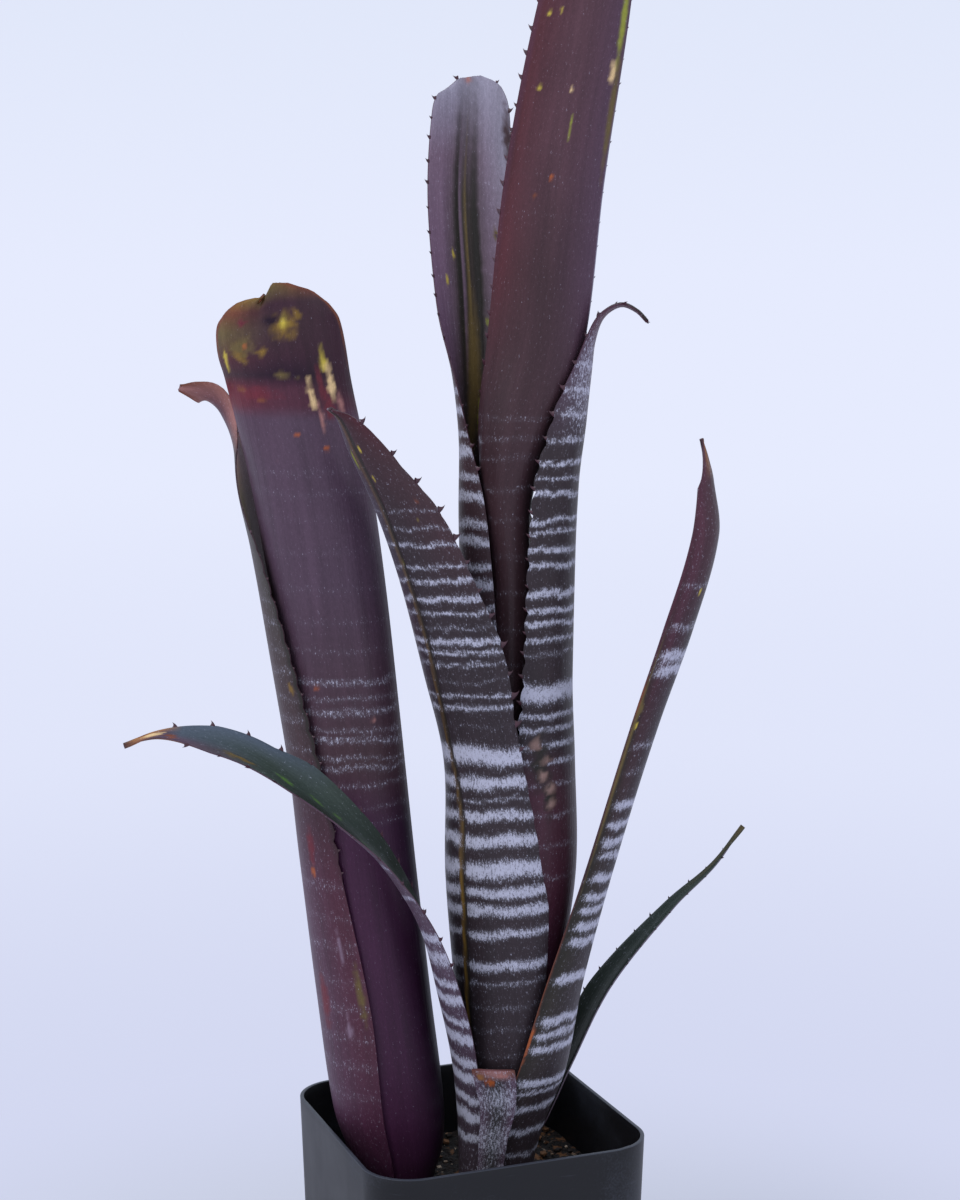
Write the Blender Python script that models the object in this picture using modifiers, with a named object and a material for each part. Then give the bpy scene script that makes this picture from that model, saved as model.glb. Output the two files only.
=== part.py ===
"""Potted bromeliad: two shoots of a banded tank bromeliad in a square nursery pot.

The row frame has +Z up, its origin on the underside of the pot at the middle of the base,
and the pot's sides along X and Y. Lengths are in metres, written as millimetres times MM.
"""

import math
from collections import namedtuple

import bmesh
import bpy
from mathutils import Matrix, Vector

MM = 0.001
OBJECT_NAME = "potted_bromeliad"

# The pot: a thin square tub with round corners, a little narrower at its foot.
RIM_WIDTH = 90 * MM
FOOT_WIDTH = 85 * MM
POT_HEIGHT = 95 * MM
POT_WALL = 1.2 * MM
CORNER_RADIUS = 15 * MM
CORNER_STEPS = 6
FOOT_ROUNDING = 2 * MM
FOOT_STEPS = 3
DRAIN_RADIUS = 4 * MM
DRAIN_OFFSET = 25 * MM
DRAIN_SIDES = 16

# The potting mix stands on the pot's floor and stops below its rim.
HEADROOM = 22 * MM
CLEARANCE = 0.4 * MM
HOLE_SIDES = 32

# The plant: its leaves start a little below the top of the mix, in a pocket of their own.
PLANT_TURN = math.radians(-21.3)
PLANTING_DEPTH = 7 * MM
LEAF_THICKNESS = 1.0 * MM
LEAF_COLUMNS = 8
ROW_SPACING = 12 * MM
SMALLEST_BEND = 1.5 * LEAF_THICKNESS

# Each shoot's axis where it enters the mix, and the short stem that its leaves clasp.
MAIN_AXIS = Vector((8 * MM, 2 * MM))
PUP_AXIS = Vector((-22 * MM, 4 * MM))
MAIN_STEM_RADIUS = 4 * MM
PUP_STEM_RADIUS = 8 * MM
STEM_RISE = 1.5 * MM
STEM_ROOTING = 12 * MM
STOLON_RADIUS = 2.5 * MM
STEM_SIDES = 24
MAIN_RINGS = 6
PUP_RINGS = 3
POCKET_MARGIN = 1.4 * MM

# Loose bark on top of the mix, in a ring about the middle of the two shoots.
CHIP_BEARINGS = (50, 115, 245, 285, 325)
CHIP_SIZE = Vector((8 * MM, 5 * MM, 2.4 * MM))
CHIP_TAPER = 0.1
CHIP_BEVEL = 0.6 * MM
CHIP_WALL_GAP = 12.2 * MM
CHIP_TURN = math.radians(50)

MIX_TOP = POT_HEIGHT - HEADROOM
LEAF_FOOT = MIX_TOP - PLANTING_DEPTH
RING_STEP = LEAF_THICKNESS + CLEARANCE

Shoot = namedtuple("Shoot", "name axis stem_radius rings")
MAIN = Shoot("main", MAIN_AXIS, MAIN_STEM_RADIUS, MAIN_RINGS)
PUP = Shoot("pup", PUP_AXIS, PUP_STEM_RADIUS, PUP_RINGS)

# A leaf clasps its shoot's stem in a ring, 1 the innermost, and is swept along its midrib from
# its foot. The foot and every station hold the way the outer face looks (degrees from the
# front, + to the right) and the angle that the section bends through. A station also holds how
# far the section is rolled about the midrib, and whether it lies level (1), as where leaves
# nest in one another, or square to the midrib (0).
Leaf = namedtuple("Leaf", "shoot ring facing span stations")
Station = namedtuple("Station", "place size facing span roll level")


def sheath(x, y, rise, swell, facing, span):
    """A station that wraps round a centre, `swell` millimetres wider than the leaf's ring."""
    return Station(Vector((x * MM, y * MM, MIX_TOP + rise * MM)), swell * MM, facing, span, 0, 1)


def blade(x, y, rise, width, facing, span, roll=0):
    """A station of a free leaf, placed by its midrib, with its width round the bend."""
    return Station(Vector((x * MM, y * MM, MIX_TOP + rise * MM)), width * MM, facing, span, roll, 0)


LEAVES = {
    "tall_leaf": Leaf(MAIN, 1, 10, 300, [
        sheath(8.2, 2, 3, 0, 10, 300),
        sheath(10, 2, 20, 0, 10, 300),
        sheath(12.5, 2, 80, 0.2, 8, 300),
        sheath(13, 1, 165, 0.2, 5, 300),
        sheath(13, 1, 192, 0.4, 3, 285),
        sheath(11.8, 1, 214, 2.2, 0, 225),
        sheath(14.4, 3, 235, 6.1, 0, 155),
        blade(20.5, -8, 262, 33, 2, 100),
        blade(26, -10, 310, 32, 3, 82),
        blade(34.5, -15, 360, 28, 5, 66),
        blade(37.6, -17, 376, 22, 5, 60),
        blade(39.2, -18, 384, 11, 5, 50),
        blade(39.8, -18.4, 387, 3, 5, 40),
    ]),
    "back_left_leaf": Leaf(MAIN, 2, 250, 220, [
        sheath(8.2, 2, 3, 0.1, 250, 220),
        sheath(10, 2, 20, 1, 250, 220),
        sheath(12, 2, 80, 2.8, 250, 222),
        sheath(9.5, 3, 165, 3.8, 248, 222),
        sheath(8, 3, 200, 3.8, 243, 220),
        sheath(7.2, 4, 217, 3.2, 235, 218),
        sheath(6.8, 5, 233, 2.8, 215, 206),
        sheath(5.2, 5, 250, 2.8, 198, 188),
        blade(1.6, 15, 274, 28, 188, 105),
        blade(0, 16, 304, 27, 185, 78),
        blade(0.8, 17, 328, 25, 182, 66),
        blade(1, 17.5, 336, 20, 180, 54),
        blade(0.4, 18, 340.5, 7, 180, 36),
    ]),
    "right_leaf": Leaf(MAIN, 3, 60, 170, [
        sheath(10.2, 2, 20, 1.4, 62, 170),
        sheath(12.2, 2, 40, 3.8, 65, 170),
        sheath(13.6, 2.6, 67, 6.8, 68, 170),
        sheath(16, 3.5, 100, 9.2, 72, 168),
        sheath(15.5, 3.5, 135, 9.2, 80, 158),
        sheath(15.5, 3, 162, 8.4, 84, 148),
        sheath(20.5, 3, 219, 4.8, 76, 142),
        sheath(25.6, 2.5, 238, 1.8, 74, 136),
        blade(37, 1, 254, 17, 76, 110),
        blade(38, 0.5, 262, 12, 80, 90),
        blade(40.6, 0, 269, 9, 84, 80),
        blade(45.6, 0, 272.2, 6.5, 86, 70),
        blade(50, -0.4, 270.6, 4.5, 86, 60),
        blade(53, -0.6, 267.6, 2, 86, 50),
    ]),
    "front_leaf": Leaf(MAIN, 4, -25, 170, [
        sheath(10, 2, 20, 1.8, -30, 168),
        sheath(11.6, 1.4, 40, 4.2, -35, 166),
        sheath(12.4, 0.8, 67, 7.4, -40, 164),
        sheath(12.6, 0, 100, 10, -45, 162),
        sheath(12, 0, 135, 9.8, -48, 136),
        sheath(6.2, -3, 163, 10.2, -46, 130),
        sheath(-3, -8, 190, 7.4, -45, 122),
        sheath(-14, -15, 214, 3.8, -44, 126),
        sheath(-26.4, -23, 231, -1.6, -44, 134),
        blade(-36.2, -32, 240.5, 9, -48, 90),
        blade(-39.2, -34.4, 243.4, 3, -50, 50),
    ]),
    "main_back_leaf": Leaf(MAIN, 4, 160, 140, [
        sheath(9, 2, 8, 0.8, 160, 140),
        sheath(10.4, 2.4, 20, 2.4, 160, 136),
        sheath(12.6, 4, 40, 4.8, 162, 128),
        sheath(13.6, 5, 67, 8, 168, 112),
        sheath(14, 6.4, 100, 9.2, 176, 94),
        sheath(13.4, 8, 135, 8.4, 178, 84),
        blade(14.6, 28, 162, 24, 178, 80),
        blade(15.6, 35, 184, 18, 178, 70),
        blade(16.6, 42, 201, 10, 178, 60),
        blade(17.2, 46.4, 210, 2.4, 178, 50),
    ]),
    "right_front_leaf": Leaf(MAIN, 5, 40, 116, [
        sheath(9, 2, 8, 1, 41, 114),
        sheath(10.8, 1.6, 20, 2.4, 43, 112),
        sheath(15.5, 0.4, 38, 4.2, 52, 112),
        sheath(22.6, -2.6, 67, 2.2, 62, 118),
        sheath(34, -5.6, 104, 0, 68, 122),
        sheath(47.4, -7.4, 148, -0.6, 70, 130),
        sheath(56.8, -7.6, 177, 0, 70, 132),
        sheath(65, -8, 205, -1, 70, 130),
        blade(72.6, -12, 221, 13, 66, 110),
        blade(70.8, -12.6, 228, 7.4, 62, 90),
        blade(69.2, -12.8, 234, 2.2, 60, 60),
    ]),
    "far_right_leaf": Leaf(MAIN, 5, 146, 54, [
        sheath(9.4, 2.2, 8, 1.8, 143, 54),
        sheath(13.2, 1.7, 18, 1.5, 138, 56),
        blade(31, 13, 36, 11.4, 126, 64, 4),
        blade(43.4, 15, 59.6, 10, 120, 64, 8),
        blade(64, 18, 84, 8, 118, 58, 14),
        blade(78, 19.6, 97, 5.6, 118, 52, 18),
        blade(87, 20.6, 109, 1.8, 122, 40, 18),
    ]),
    "low_left_leaf": Leaf(MAIN, 5, -72, 98, [
        sheath(9.6, 1.4, 20, 2, -68, 96),
        blade(-4, -8.6, 42, 19, -64, 84),
        blade(-7.6, -16.4, 64, 17, -60, 80),
        blade(-14, -23, 88, 15.5, -62, 76, -8),
        blade(-25.4, -28, 109, 15, -66, 70, -18),
        blade(-37.5, -31, 123, 14.4, -70, 66, -28),
        blade(-50, -33, 134.4, 13.6, -74, 62, -36),
        blade(-64, -35, 144, 12, -76, 58, -42),
        blade(-78, -36.4, 149, 9.4, -78, 50, -46),
        blade(-89, -37.2, 150, 5.8, -80, 44, -46),
        blade(-99, -38, 147, 1.8, -80, 40, -46),
    ]),
    "cut_leaf_stub": Leaf(MAIN, 6, -8, 34, [
        sheath(8.2, 2, 2, 0.6, -8, 34),
        sheath(9.6, 1, 18, 2, -8, 36),
        sheath(10.7, 1.9, 28, 4.2, -6, 38),
        sheath(9.7, 2.2, 37, 6.2, -4, 40),
        sheath(8.3, 1.6, 42, 6.8, -2, 40),
    ]),
    "pup_back_leaf": Leaf(PUP, 1, 180, 170, [
        sheath(-22, 4.2, 1, 0.6, 180, 170),
        sheath(-22.4, 5, 10, 2.6, 180, 168),
        sheath(-24, 5.6, 24, 4.8, 180, 165),
        sheath(-28.3, 5.4, 60, 5.4, 180, 160),
        sheath(-33, 6, 104, 4.8, 182, 150),
        sheath(-36.8, 6.4, 150, 4.6, 182, 135),
        sheath(-40.4, 7, 190, 4.6, 184, 110),
        blade(-45.6, 25, 216, 20, 186, 80),
        blade(-47.4, 28, 232, 13, 188, 60),
        blade(-48.6, 30, 241, 3, 188, 50),
    ]),
    "pup_front_leaf": Leaf(PUP, 2, -2, 178, [
        sheath(-22, 4, 1, 0.6, -2, 178),
        sheath(-22.2, 4, 10, 3.2, -2, 178),
        sheath(-24, 4, 24, 5.6, -2, 178),
        sheath(-28.3, 4, 60, 6, -4, 176),
        sheath(-33.2, 4, 104, 6.4, -6, 172),
        sheath(-37.6, 4, 150, 6.3, -6, 170),
        sheath(-42.6, 4.4, 190, 7.2, -4, 164),
        sheath(-48, 5.4, 225, 8.2, -2, 152),
        sheath(-53.6, 7.4, 251, 9.8, 0, 132),
        blade(-56.2, -14.2, 265, 44, 0, 112),
        blade(-56.8, -15, 272, 36, 0, 96),
        blade(-57, -15.2, 277, 24, 0, 74),
        blade(-57, -15.3, 279.4, 10, 0, 50),
    ]),
    "pup_outer_leaf": Leaf(PUP, 3, -92, 176, [
        sheath(-22, 4, 1, 0.6, -92, 176),
        sheath(-22.4, 4, 10, 3.4, -92, 176),
        sheath(-24.2, 4, 24, 6, -92, 174),
        sheath(-28.6, 4, 60, 6.4, -88, 170),
        sheath(-33.4, 4, 104, 6.6, -94, 156),
        sheath(-36.2, 4, 132, 6.7, -96, 144),
        sheath(-42, 4.4, 172, 7.2, -102, 124),
        sheath(-46, 5, 198, 7.5, -108, 102),
        sheath(-48.8, 6, 221, 9.2, -112, 62),
        blade(-73.8, 8.4, 238, 16, -106, 60, 30),
        blade(-77, 4, 244.6, 11.6, -98, 56, 56),
        blade(-81.4, 2, 247, 7, -94, 46, 66),
        blade(-86, 0, 248, 2.4, -90, 40, 66),
    ]),
}

LEAF_COLOURS = {
    "tall_leaf": (0.085, 0.04, 0.06),
    "back_left_leaf": (0.12, 0.1, 0.14),
    "right_leaf": (0.13, 0.11, 0.14),
    "front_leaf": (0.1, 0.085, 0.1),
    "main_back_leaf": (0.09, 0.06, 0.08),
    "right_front_leaf": (0.09, 0.06, 0.075),
    "far_right_leaf": (0.05, 0.07, 0.055),
    "low_left_leaf": (0.06, 0.08, 0.075),
    "cut_leaf_stub": (0.13, 0.1, 0.085),
    "pup_back_leaf": (0.07, 0.035, 0.06),
    "pup_front_leaf": (0.08, 0.035, 0.065),
    "pup_outer_leaf": (0.075, 0.04, 0.06),
}


def clear_scene():
    for old in list(bpy.data.objects):
        bpy.data.objects.remove(old, do_unlink=True)


def new_collection(name):
    collection = bpy.data.collections.new(name)
    bpy.context.scene.collection.children.link(collection)
    return collection


def new_material(name, colour, roughness):
    material = bpy.data.materials.new(name)
    material.use_nodes = True
    shader = material.node_tree.nodes["Principled BSDF"]
    shader.inputs["Base Color"].default_value = (*colour, 1)
    shader.inputs["Roughness"].default_value = roughness
    shader.inputs["Metallic"].default_value = 0
    return material


def new_object(name, shape, collection, material=None, parent=None):
    """Link a new object made from a bmesh, which is used up."""
    bmesh.ops.recalc_face_normals(shape, faces=shape.faces)
    mesh = bpy.data.meshes.new(name)
    shape.to_mesh(mesh)
    shape.free()
    mesh.shade_smooth()
    mesh.set_sharp_from_angle(angle=math.radians(40))
    thing = bpy.data.objects.new(name, mesh)
    collection.objects.link(thing)
    if material:
        mesh.materials.append(material)
    thing.parent = parent
    return thing


def rounded_square(width, corner_radius, height):
    """Points round a square with rounded corners, at one height."""
    inset = width / 2 - corner_radius
    points = []
    for quarter in range(4):
        start = math.radians(90 * quarter)
        corner = Vector((math.cos(start) - math.sin(start), math.sin(start) + math.cos(start)))
        for step in range(CORNER_STEPS + 1):
            angle = start + math.radians(90) * step / CORNER_STEPS
            spoke = Vector((math.cos(angle), math.sin(angle)))
            point = corner * inset + spoke * corner_radius
            points.append(Vector((point.x, point.y, height)))
    return points


def loft(rings):
    """Join closed rows of points with quads and return the bmesh and its rows of vertices."""
    shape = bmesh.new()
    rows = [[shape.verts.new(point) for point in ring] for ring in rings]
    count = len(rows[0])
    for low, high in zip(rows, rows[1:]):
        for i in range(count):
            j = (i + 1) % count
            shape.faces.new((low[i], low[j], high[j], high[i]))
    return shape, rows


def outer_width(height):
    """Width across the pot's outside at a height."""
    return FOOT_WIDTH + (RIM_WIDTH - FOOT_WIDTH) * height / POT_HEIGHT


def drain_places():
    for side_x in (-1, 1):
        for side_y in (-1, 1):
            yield Vector((side_x * DRAIN_OFFSET, side_y * DRAIN_OFFSET, 0))


def round_bar(radius, start, end, sides):
    """A bmesh of a closed cylinder between two points."""
    along = end - start
    turn = along.to_track_quat("Z", "Y").to_matrix().to_4x4()
    shape = bmesh.new()
    bmesh.ops.create_cone(
        shape,
        cap_ends=True,
        segments=sides,
        radius1=radius,
        radius2=radius,
        depth=along.length,
        matrix=Matrix.Translation((start + end) / 2) @ turn,
    )
    return shape


def upright_bar(radius, low, high, place, sides):
    return round_bar(radius, Vector((place.x, place.y, low)), Vector((place.x, place.y, high)), sides)


def ring_radius(shoot, ring):
    """Outer radius of the foot of a leaf in the given ring of a shoot."""
    return shoot.stem_radius + RING_STEP * ring


def stolon_bar(radius):
    """A bar between the two stems' axes, in the middle of their rooted length."""
    depth = LEAF_FOOT - CLEARANCE - STEM_ROOTING / 2
    return round_bar(radius, Vector((*MAIN_AXIS, depth)), Vector((*PUP_AXIS, depth)), STEM_SIDES)


def new_cutter(name, shape, cutters, parent=None):
    cutter = new_object(name, shape, cutters, parent=parent)
    cutter.hide_render = True
    cutter.display_type = "WIRE"
    return cutter


def cut(target, cutter, operation="DIFFERENCE"):
    boolean = target.modifiers.new(cutter.name, "BOOLEAN")
    boolean.operation = operation
    boolean.object = cutter
    boolean.solver = "EXACT"


def make_pot(parts, cutters):
    """The tub's outer skin, from its rounded foot to its rim, thickened inwards."""
    rings = []
    for step in range(FOOT_STEPS + 1):
        angle = math.radians(90) * step / FOOT_STEPS
        height = FOOT_ROUNDING * (1 - math.cos(angle))
        inset = FOOT_ROUNDING * (1 - math.sin(angle))
        width = outer_width(height) - 2 * inset
        rings.append(rounded_square(width, CORNER_RADIUS - inset, height))
    rings.append(rounded_square(RIM_WIDTH, CORNER_RADIUS, POT_HEIGHT))
    shape, rows = loft(rings)
    shape.faces.new(list(reversed(rows[0])))
    material = new_material("black_plastic", (0.02, 0.021, 0.024), 0.45)
    pot = new_object("pot", shape, parts, material)
    wall = pot.modifiers.new("wall", "SOLIDIFY")
    wall.thickness = POT_WALL
    wall.offset = -1
    wall.use_even_offset = True
    for i, place in enumerate(drain_places()):
        bar = upright_bar(DRAIN_RADIUS, -POT_WALL, 3 * POT_WALL, place, DRAIN_SIDES)
        cut(pot, new_cutter(f"drain_{i}", bar, cutters))


def make_potting_mix(parts, cutters, plant):
    """The block of mix, as wide as the pot's inside less a clearance, with the shoots' pockets."""
    low = POT_WALL + CLEARANCE
    gap = 2 * (POT_WALL + CLEARANCE)
    corner = CORNER_RADIUS - POT_WALL - CLEARANCE
    chamfer = FOOT_ROUNDING
    bottom_width = outer_width(low + chamfer) - gap
    rings = [
        rounded_square(bottom_width - 2 * chamfer, corner - chamfer, low),
        rounded_square(bottom_width, corner, low + chamfer),
        rounded_square(outer_width(MIX_TOP) - gap, corner, MIX_TOP),
    ]
    shape, rows = loft(rings)
    shape.faces.new(list(reversed(rows[0])))
    shape.faces.new(rows[-1])
    material = new_material("bark_mix", (0.09, 0.055, 0.03), 0.9)
    mix = new_object("potting_mix", shape, parts, material)
    pocket_floor = LEAF_FOOT - CLEARANCE
    socket_floor = pocket_floor - STEM_ROOTING - CLEARANCE
    for shoot in (MAIN, PUP):
        pocket = ring_radius(shoot, shoot.rings) + POCKET_MARGIN
        hole = upright_bar(pocket, pocket_floor, POT_HEIGHT, shoot.axis, HOLE_SIDES)
        cut(mix, new_cutter(f"{shoot.name}_pocket", hole, cutters, plant))
        grip = shoot.stem_radius + CLEARANCE
        socket = upright_bar(grip, socket_floor, MIX_TOP, shoot.axis, STEM_SIDES)
        cut(mix, new_cutter(f"{shoot.name}_socket", socket, cutters, plant))
    tunnel = stolon_bar(STOLON_RADIUS + CLEARANCE)
    cut(mix, new_cutter("stolon_tunnel", tunnel, cutters, plant))


def make_rootstock(parts, cutters, plant):
    """The two short stems, which the leaves clasp, joined by the stolon that bore the pup."""
    low = LEAF_FOOT - CLEARANCE - STEM_ROOTING
    high = MIX_TOP + STEM_RISE
    material = new_material("stem_tissue", (0.2, 0.15, 0.09), 0.7)
    main_stem = upright_bar(MAIN_STEM_RADIUS, low, high, MAIN_AXIS, STEM_SIDES)
    rootstock = new_object("rootstock", main_stem, parts, material, plant)
    stolon = new_cutter("stolon", stolon_bar(STOLON_RADIUS), cutters, plant)
    cut(rootstock, stolon, "UNION")
    pup_stem = upright_bar(PUP_STEM_RADIUS, low, high, PUP_AXIS, STEM_SIDES)
    cut(rootstock, new_cutter("pup_stem", pup_stem, cutters, plant), "UNION")


def hermite(knots, values, at):
    """Smooth curve through values at their knots, with slopes from the neighbours either side."""
    last = len(knots) - 1
    i = max(k for k in range(last) if knots[k] <= at)
    length = knots[i + 1] - knots[i]

    def slope(k):
        before, after = max(k - 1, 0), min(k + 1, last)
        return (values[after] - values[before]) / (knots[after] - knots[before])

    t = (at - knots[i]) / length
    rise = t * t * (3 - 2 * t)
    leave = t * (1 - t) ** 2 * length
    arrive = t * t * (t - 1) * length
    return values[i] * (1 - rise) + values[i + 1] * rise + slope(i) * leave + slope(i + 1) * arrive


def outward(facing):
    angle = math.radians(facing)
    return Vector((math.sin(angle), -math.cos(angle), 0))


def midrib_stations(leaf):
    """The leaf's foot and stations, each placed by its midrib and sized by its width."""
    foot_centre = Vector((*leaf.shoot.axis, LEAF_FOOT))
    foot = Station(foot_centre, 0, leaf.facing, leaf.span, 0, 1)
    for station in (foot, *leaf.stations):
        if station.level:
            radius = ring_radius(leaf.shoot, leaf.ring) + station.size
            place = station.place + radius * outward(station.facing)
            yield station._replace(place=place, size=radius * math.radians(station.span))
        else:
            yield station


def leaf_sections(leaf):
    """Yield each row's midrib point, tangent, bend radius, facing, half bend and roll."""
    stations = list(midrib_stations(leaf))
    knots = [0.0]
    for here, there in zip(stations, stations[1:]):
        knots.append(knots[-1] + (there.place - here.place).length)
    places = [station.place for station in stations]
    distances = [0.0]
    for low, high in zip(knots, knots[1:]):
        steps = math.ceil((high - low) / ROW_SPACING)
        distances += [low + (high - low) * (step + 1) / steps for step in range(steps)]
    nudge = ROW_SPACING / 100
    end = knots[-1]
    for at in distances:
        at = min(at, end)
        before = hermite(knots, places, max(at - nudge, 0))
        after = hermite(knots, places, min(at + nudge, end))
        width, facing, span, roll, level = (
            hermite(knots, [getattr(station, field) for station in stations], at)
            for field in ("size", "facing", "span", "roll", "level")
        )
        tangent = (after - before).normalized().lerp(Vector((0, 0, 1)), level).normalized()
        radius = max(width / math.radians(span), SMALLEST_BEND)
        yield hermite(knots, places, at), tangent, radius, facing, width / radius / 2, roll


def section_ring(place, tangent, radius, facing, half_span, roll):
    """One closed row of points: across the outer face, then back across the inner face."""
    angle = math.radians(facing)
    across = Vector((math.cos(angle), math.sin(angle), 0))
    across = (across - tangent * across.dot(tangent)).normalized()
    across.rotate(Matrix.Rotation(math.radians(roll), 3, tangent))
    out = across.cross(tangent)
    centre = place - out * radius
    bends = [half_span * (2 * i / LEAF_COLUMNS - 1) for i in range(LEAF_COLUMNS + 1)]

    def arc(reach, angles):
        return [centre + reach * (out * math.cos(a) + across * math.sin(a)) for a in angles]

    return arc(radius, bends) + arc(radius - LEAF_THICKNESS, reversed(bends))


def make_leaf(name, leaf, parts, plant):
    shape, rows = loft([section_ring(*section) for section in leaf_sections(leaf)])
    for row in (rows[0], rows[-1]):
        for i in range(LEAF_COLUMNS):
            shape.faces.new((row[i], row[i + 1], row[-2 - i], row[-1 - i]))
    return new_object(name, shape, parts, new_material(name, LEAF_COLOURS[name], 0.4), plant)


def make_bark_chips(parts, plant):
    """Loose chips of bark on the mix, in a ring clear of both shoots."""
    centre = (MAIN_AXIS + PUP_AXIS) / 2
    ring = outer_width(MIX_TOP) / 2 - POT_WALL - CHIP_WALL_GAP
    material = new_material("bark", (0.33, 0.19, 0.07), 0.8)
    for i, bearing in enumerate(CHIP_BEARINGS):
        shape = bmesh.new()
        size = CHIP_SIZE * (1 - CHIP_TAPER * (i % 3))
        bmesh.ops.create_cube(shape, size=1, matrix=Matrix.Diagonal((*size, 1)))
        bmesh.ops.bevel(
            shape, geom=shape.edges[:], offset=CHIP_BEVEL, segments=1, affect="EDGES"
        )
        chip = new_object(f"bark_chip_{i + 1}", shape, parts, material, plant)
        angle = math.radians(bearing)
        spoke = Vector((math.cos(angle), math.sin(angle))) * ring
        chip.location = (*(centre + spoke), MIX_TOP + CLEARANCE + size.z / 2)
        chip.rotation_euler.z = CHIP_TURN * i


def main():
    clear_scene()
    parts = new_collection(OBJECT_NAME)
    cutters = new_collection("cutters")
    plant = bpy.data.objects.new("plant", None)
    plant.rotation_euler.z = PLANT_TURN
    parts.objects.link(plant)
    bpy.context.view_layer.update()
    make_pot(parts, cutters)
    make_potting_mix(parts, cutters, plant)
    make_rootstock(parts, cutters, plant)
    make_bark_chips(parts, plant)
    for name, leaf in LEAVES.items():
        make_leaf(name, leaf, parts, plant)


main()
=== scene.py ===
import math
import random
from collections import namedtuple

import bmesh
import bpy
import numpy as np
from bpy.props import FloatProperty, FloatVectorProperty, IntProperty, PointerProperty
from bpy.types import Operator, Panel, PropertyGroup
from mathutils import Matrix, Vector, noise


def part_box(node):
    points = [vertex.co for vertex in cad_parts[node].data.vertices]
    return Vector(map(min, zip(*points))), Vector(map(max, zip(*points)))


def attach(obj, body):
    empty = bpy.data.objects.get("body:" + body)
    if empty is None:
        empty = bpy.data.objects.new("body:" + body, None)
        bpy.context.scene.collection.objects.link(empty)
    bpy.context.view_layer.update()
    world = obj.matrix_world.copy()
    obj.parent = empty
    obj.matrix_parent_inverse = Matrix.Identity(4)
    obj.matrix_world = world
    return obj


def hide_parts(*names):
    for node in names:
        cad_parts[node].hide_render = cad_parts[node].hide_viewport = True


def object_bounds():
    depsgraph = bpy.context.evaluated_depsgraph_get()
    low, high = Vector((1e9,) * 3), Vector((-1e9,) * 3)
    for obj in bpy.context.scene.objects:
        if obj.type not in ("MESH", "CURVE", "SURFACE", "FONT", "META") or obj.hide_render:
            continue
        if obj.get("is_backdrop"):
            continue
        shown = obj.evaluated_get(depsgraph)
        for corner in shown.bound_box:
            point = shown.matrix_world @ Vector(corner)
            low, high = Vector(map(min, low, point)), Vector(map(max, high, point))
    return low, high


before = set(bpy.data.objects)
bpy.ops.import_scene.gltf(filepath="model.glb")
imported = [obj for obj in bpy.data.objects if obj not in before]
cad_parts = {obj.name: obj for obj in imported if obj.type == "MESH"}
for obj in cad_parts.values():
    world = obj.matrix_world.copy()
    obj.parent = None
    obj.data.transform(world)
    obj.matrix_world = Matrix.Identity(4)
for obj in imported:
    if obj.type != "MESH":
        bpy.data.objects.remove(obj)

bl_info = {
    "name": "Potted Bromeliad",
    "version": (1, 0, 0),
    "blender": (4, 5, 0),
    "location": "View3D > Sidebar > Bromeliad",
    "description": "Builds the finished leaves, pot and potting mix of a potted bromeliad",
    "category": "Add Mesh",
}

CAD_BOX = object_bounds()
MM = 0.001

# The frame gives the pot and the mix; the plant stands turned in the pot.
POT_LOW, POT_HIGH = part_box("pot")
MIX_LOW, MIX_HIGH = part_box("potting_mix")
RIM_WIDTH = POT_HIGH.x - POT_LOW.x
FOOT_SHARE = 85 / 90
FOOT_ROUNDING = 2 * MM
MIX_TOP = MIX_HIGH.z
POT_WALL = 1.2 * MM
CORNER_RADIUS = 15 * MM
FLOOR_GAP = 0.2 * MM
PLANT_TURN = Matrix.Rotation(math.radians(-21.3), 4, "Z")

# The design's planting: each shoot's axis and stem, and the rings that its leaves clasp.
CLEARANCE = 0.4 * MM
PLANTING_DEPTH = 7 * MM
LEAF_THICKNESS = 1.0 * MM
RING_STEP = LEAF_THICKNESS + CLEARANCE
SMALLEST_BEND = 1.5 * LEAF_THICKNESS
LEAF_FOOT = MIX_TOP - PLANTING_DEPTH

Shoot = namedtuple("Shoot", "axis stem_radius")
MAIN = Shoot(Vector((8 * MM, 2 * MM)), 4 * MM)
PUP = Shoot(Vector((-22 * MM, 4 * MM)), 8 * MM)
MAIN_RINGS = 6
PUP_RINGS = 3
CRUMB_GAP = 0.8 * MM

# A leaf clasps its shoot's stem in a ring, 1 the innermost, and is swept along its midrib from
# its foot. The foot and every station hold the way the outer face looks (degrees from the
# front, + to the right) and the angle that the section bends through. A station also holds how
# far the section is rolled about the midrib, and whether it lies level (1), as where leaves
# nest in one another, or square to the midrib (0).
Leaf = namedtuple("Leaf", "shoot ring facing span stations")
Station = namedtuple("Station", "place size facing span roll level")


def sheath(x, y, rise, swell, facing, span):
    """A station that wraps round a centre, `swell` millimetres wider than the leaf's ring."""
    return Station(Vector((x * MM, y * MM, MIX_TOP + rise * MM)), swell * MM, facing, span, 0, 1)


def blade(x, y, rise, width, facing, span, roll=0):
    """A station of a free leaf, placed by its midrib, with its width round the bend."""
    return Station(Vector((x * MM, y * MM, MIX_TOP + rise * MM)), width * MM, facing, span, roll, 0)


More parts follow.
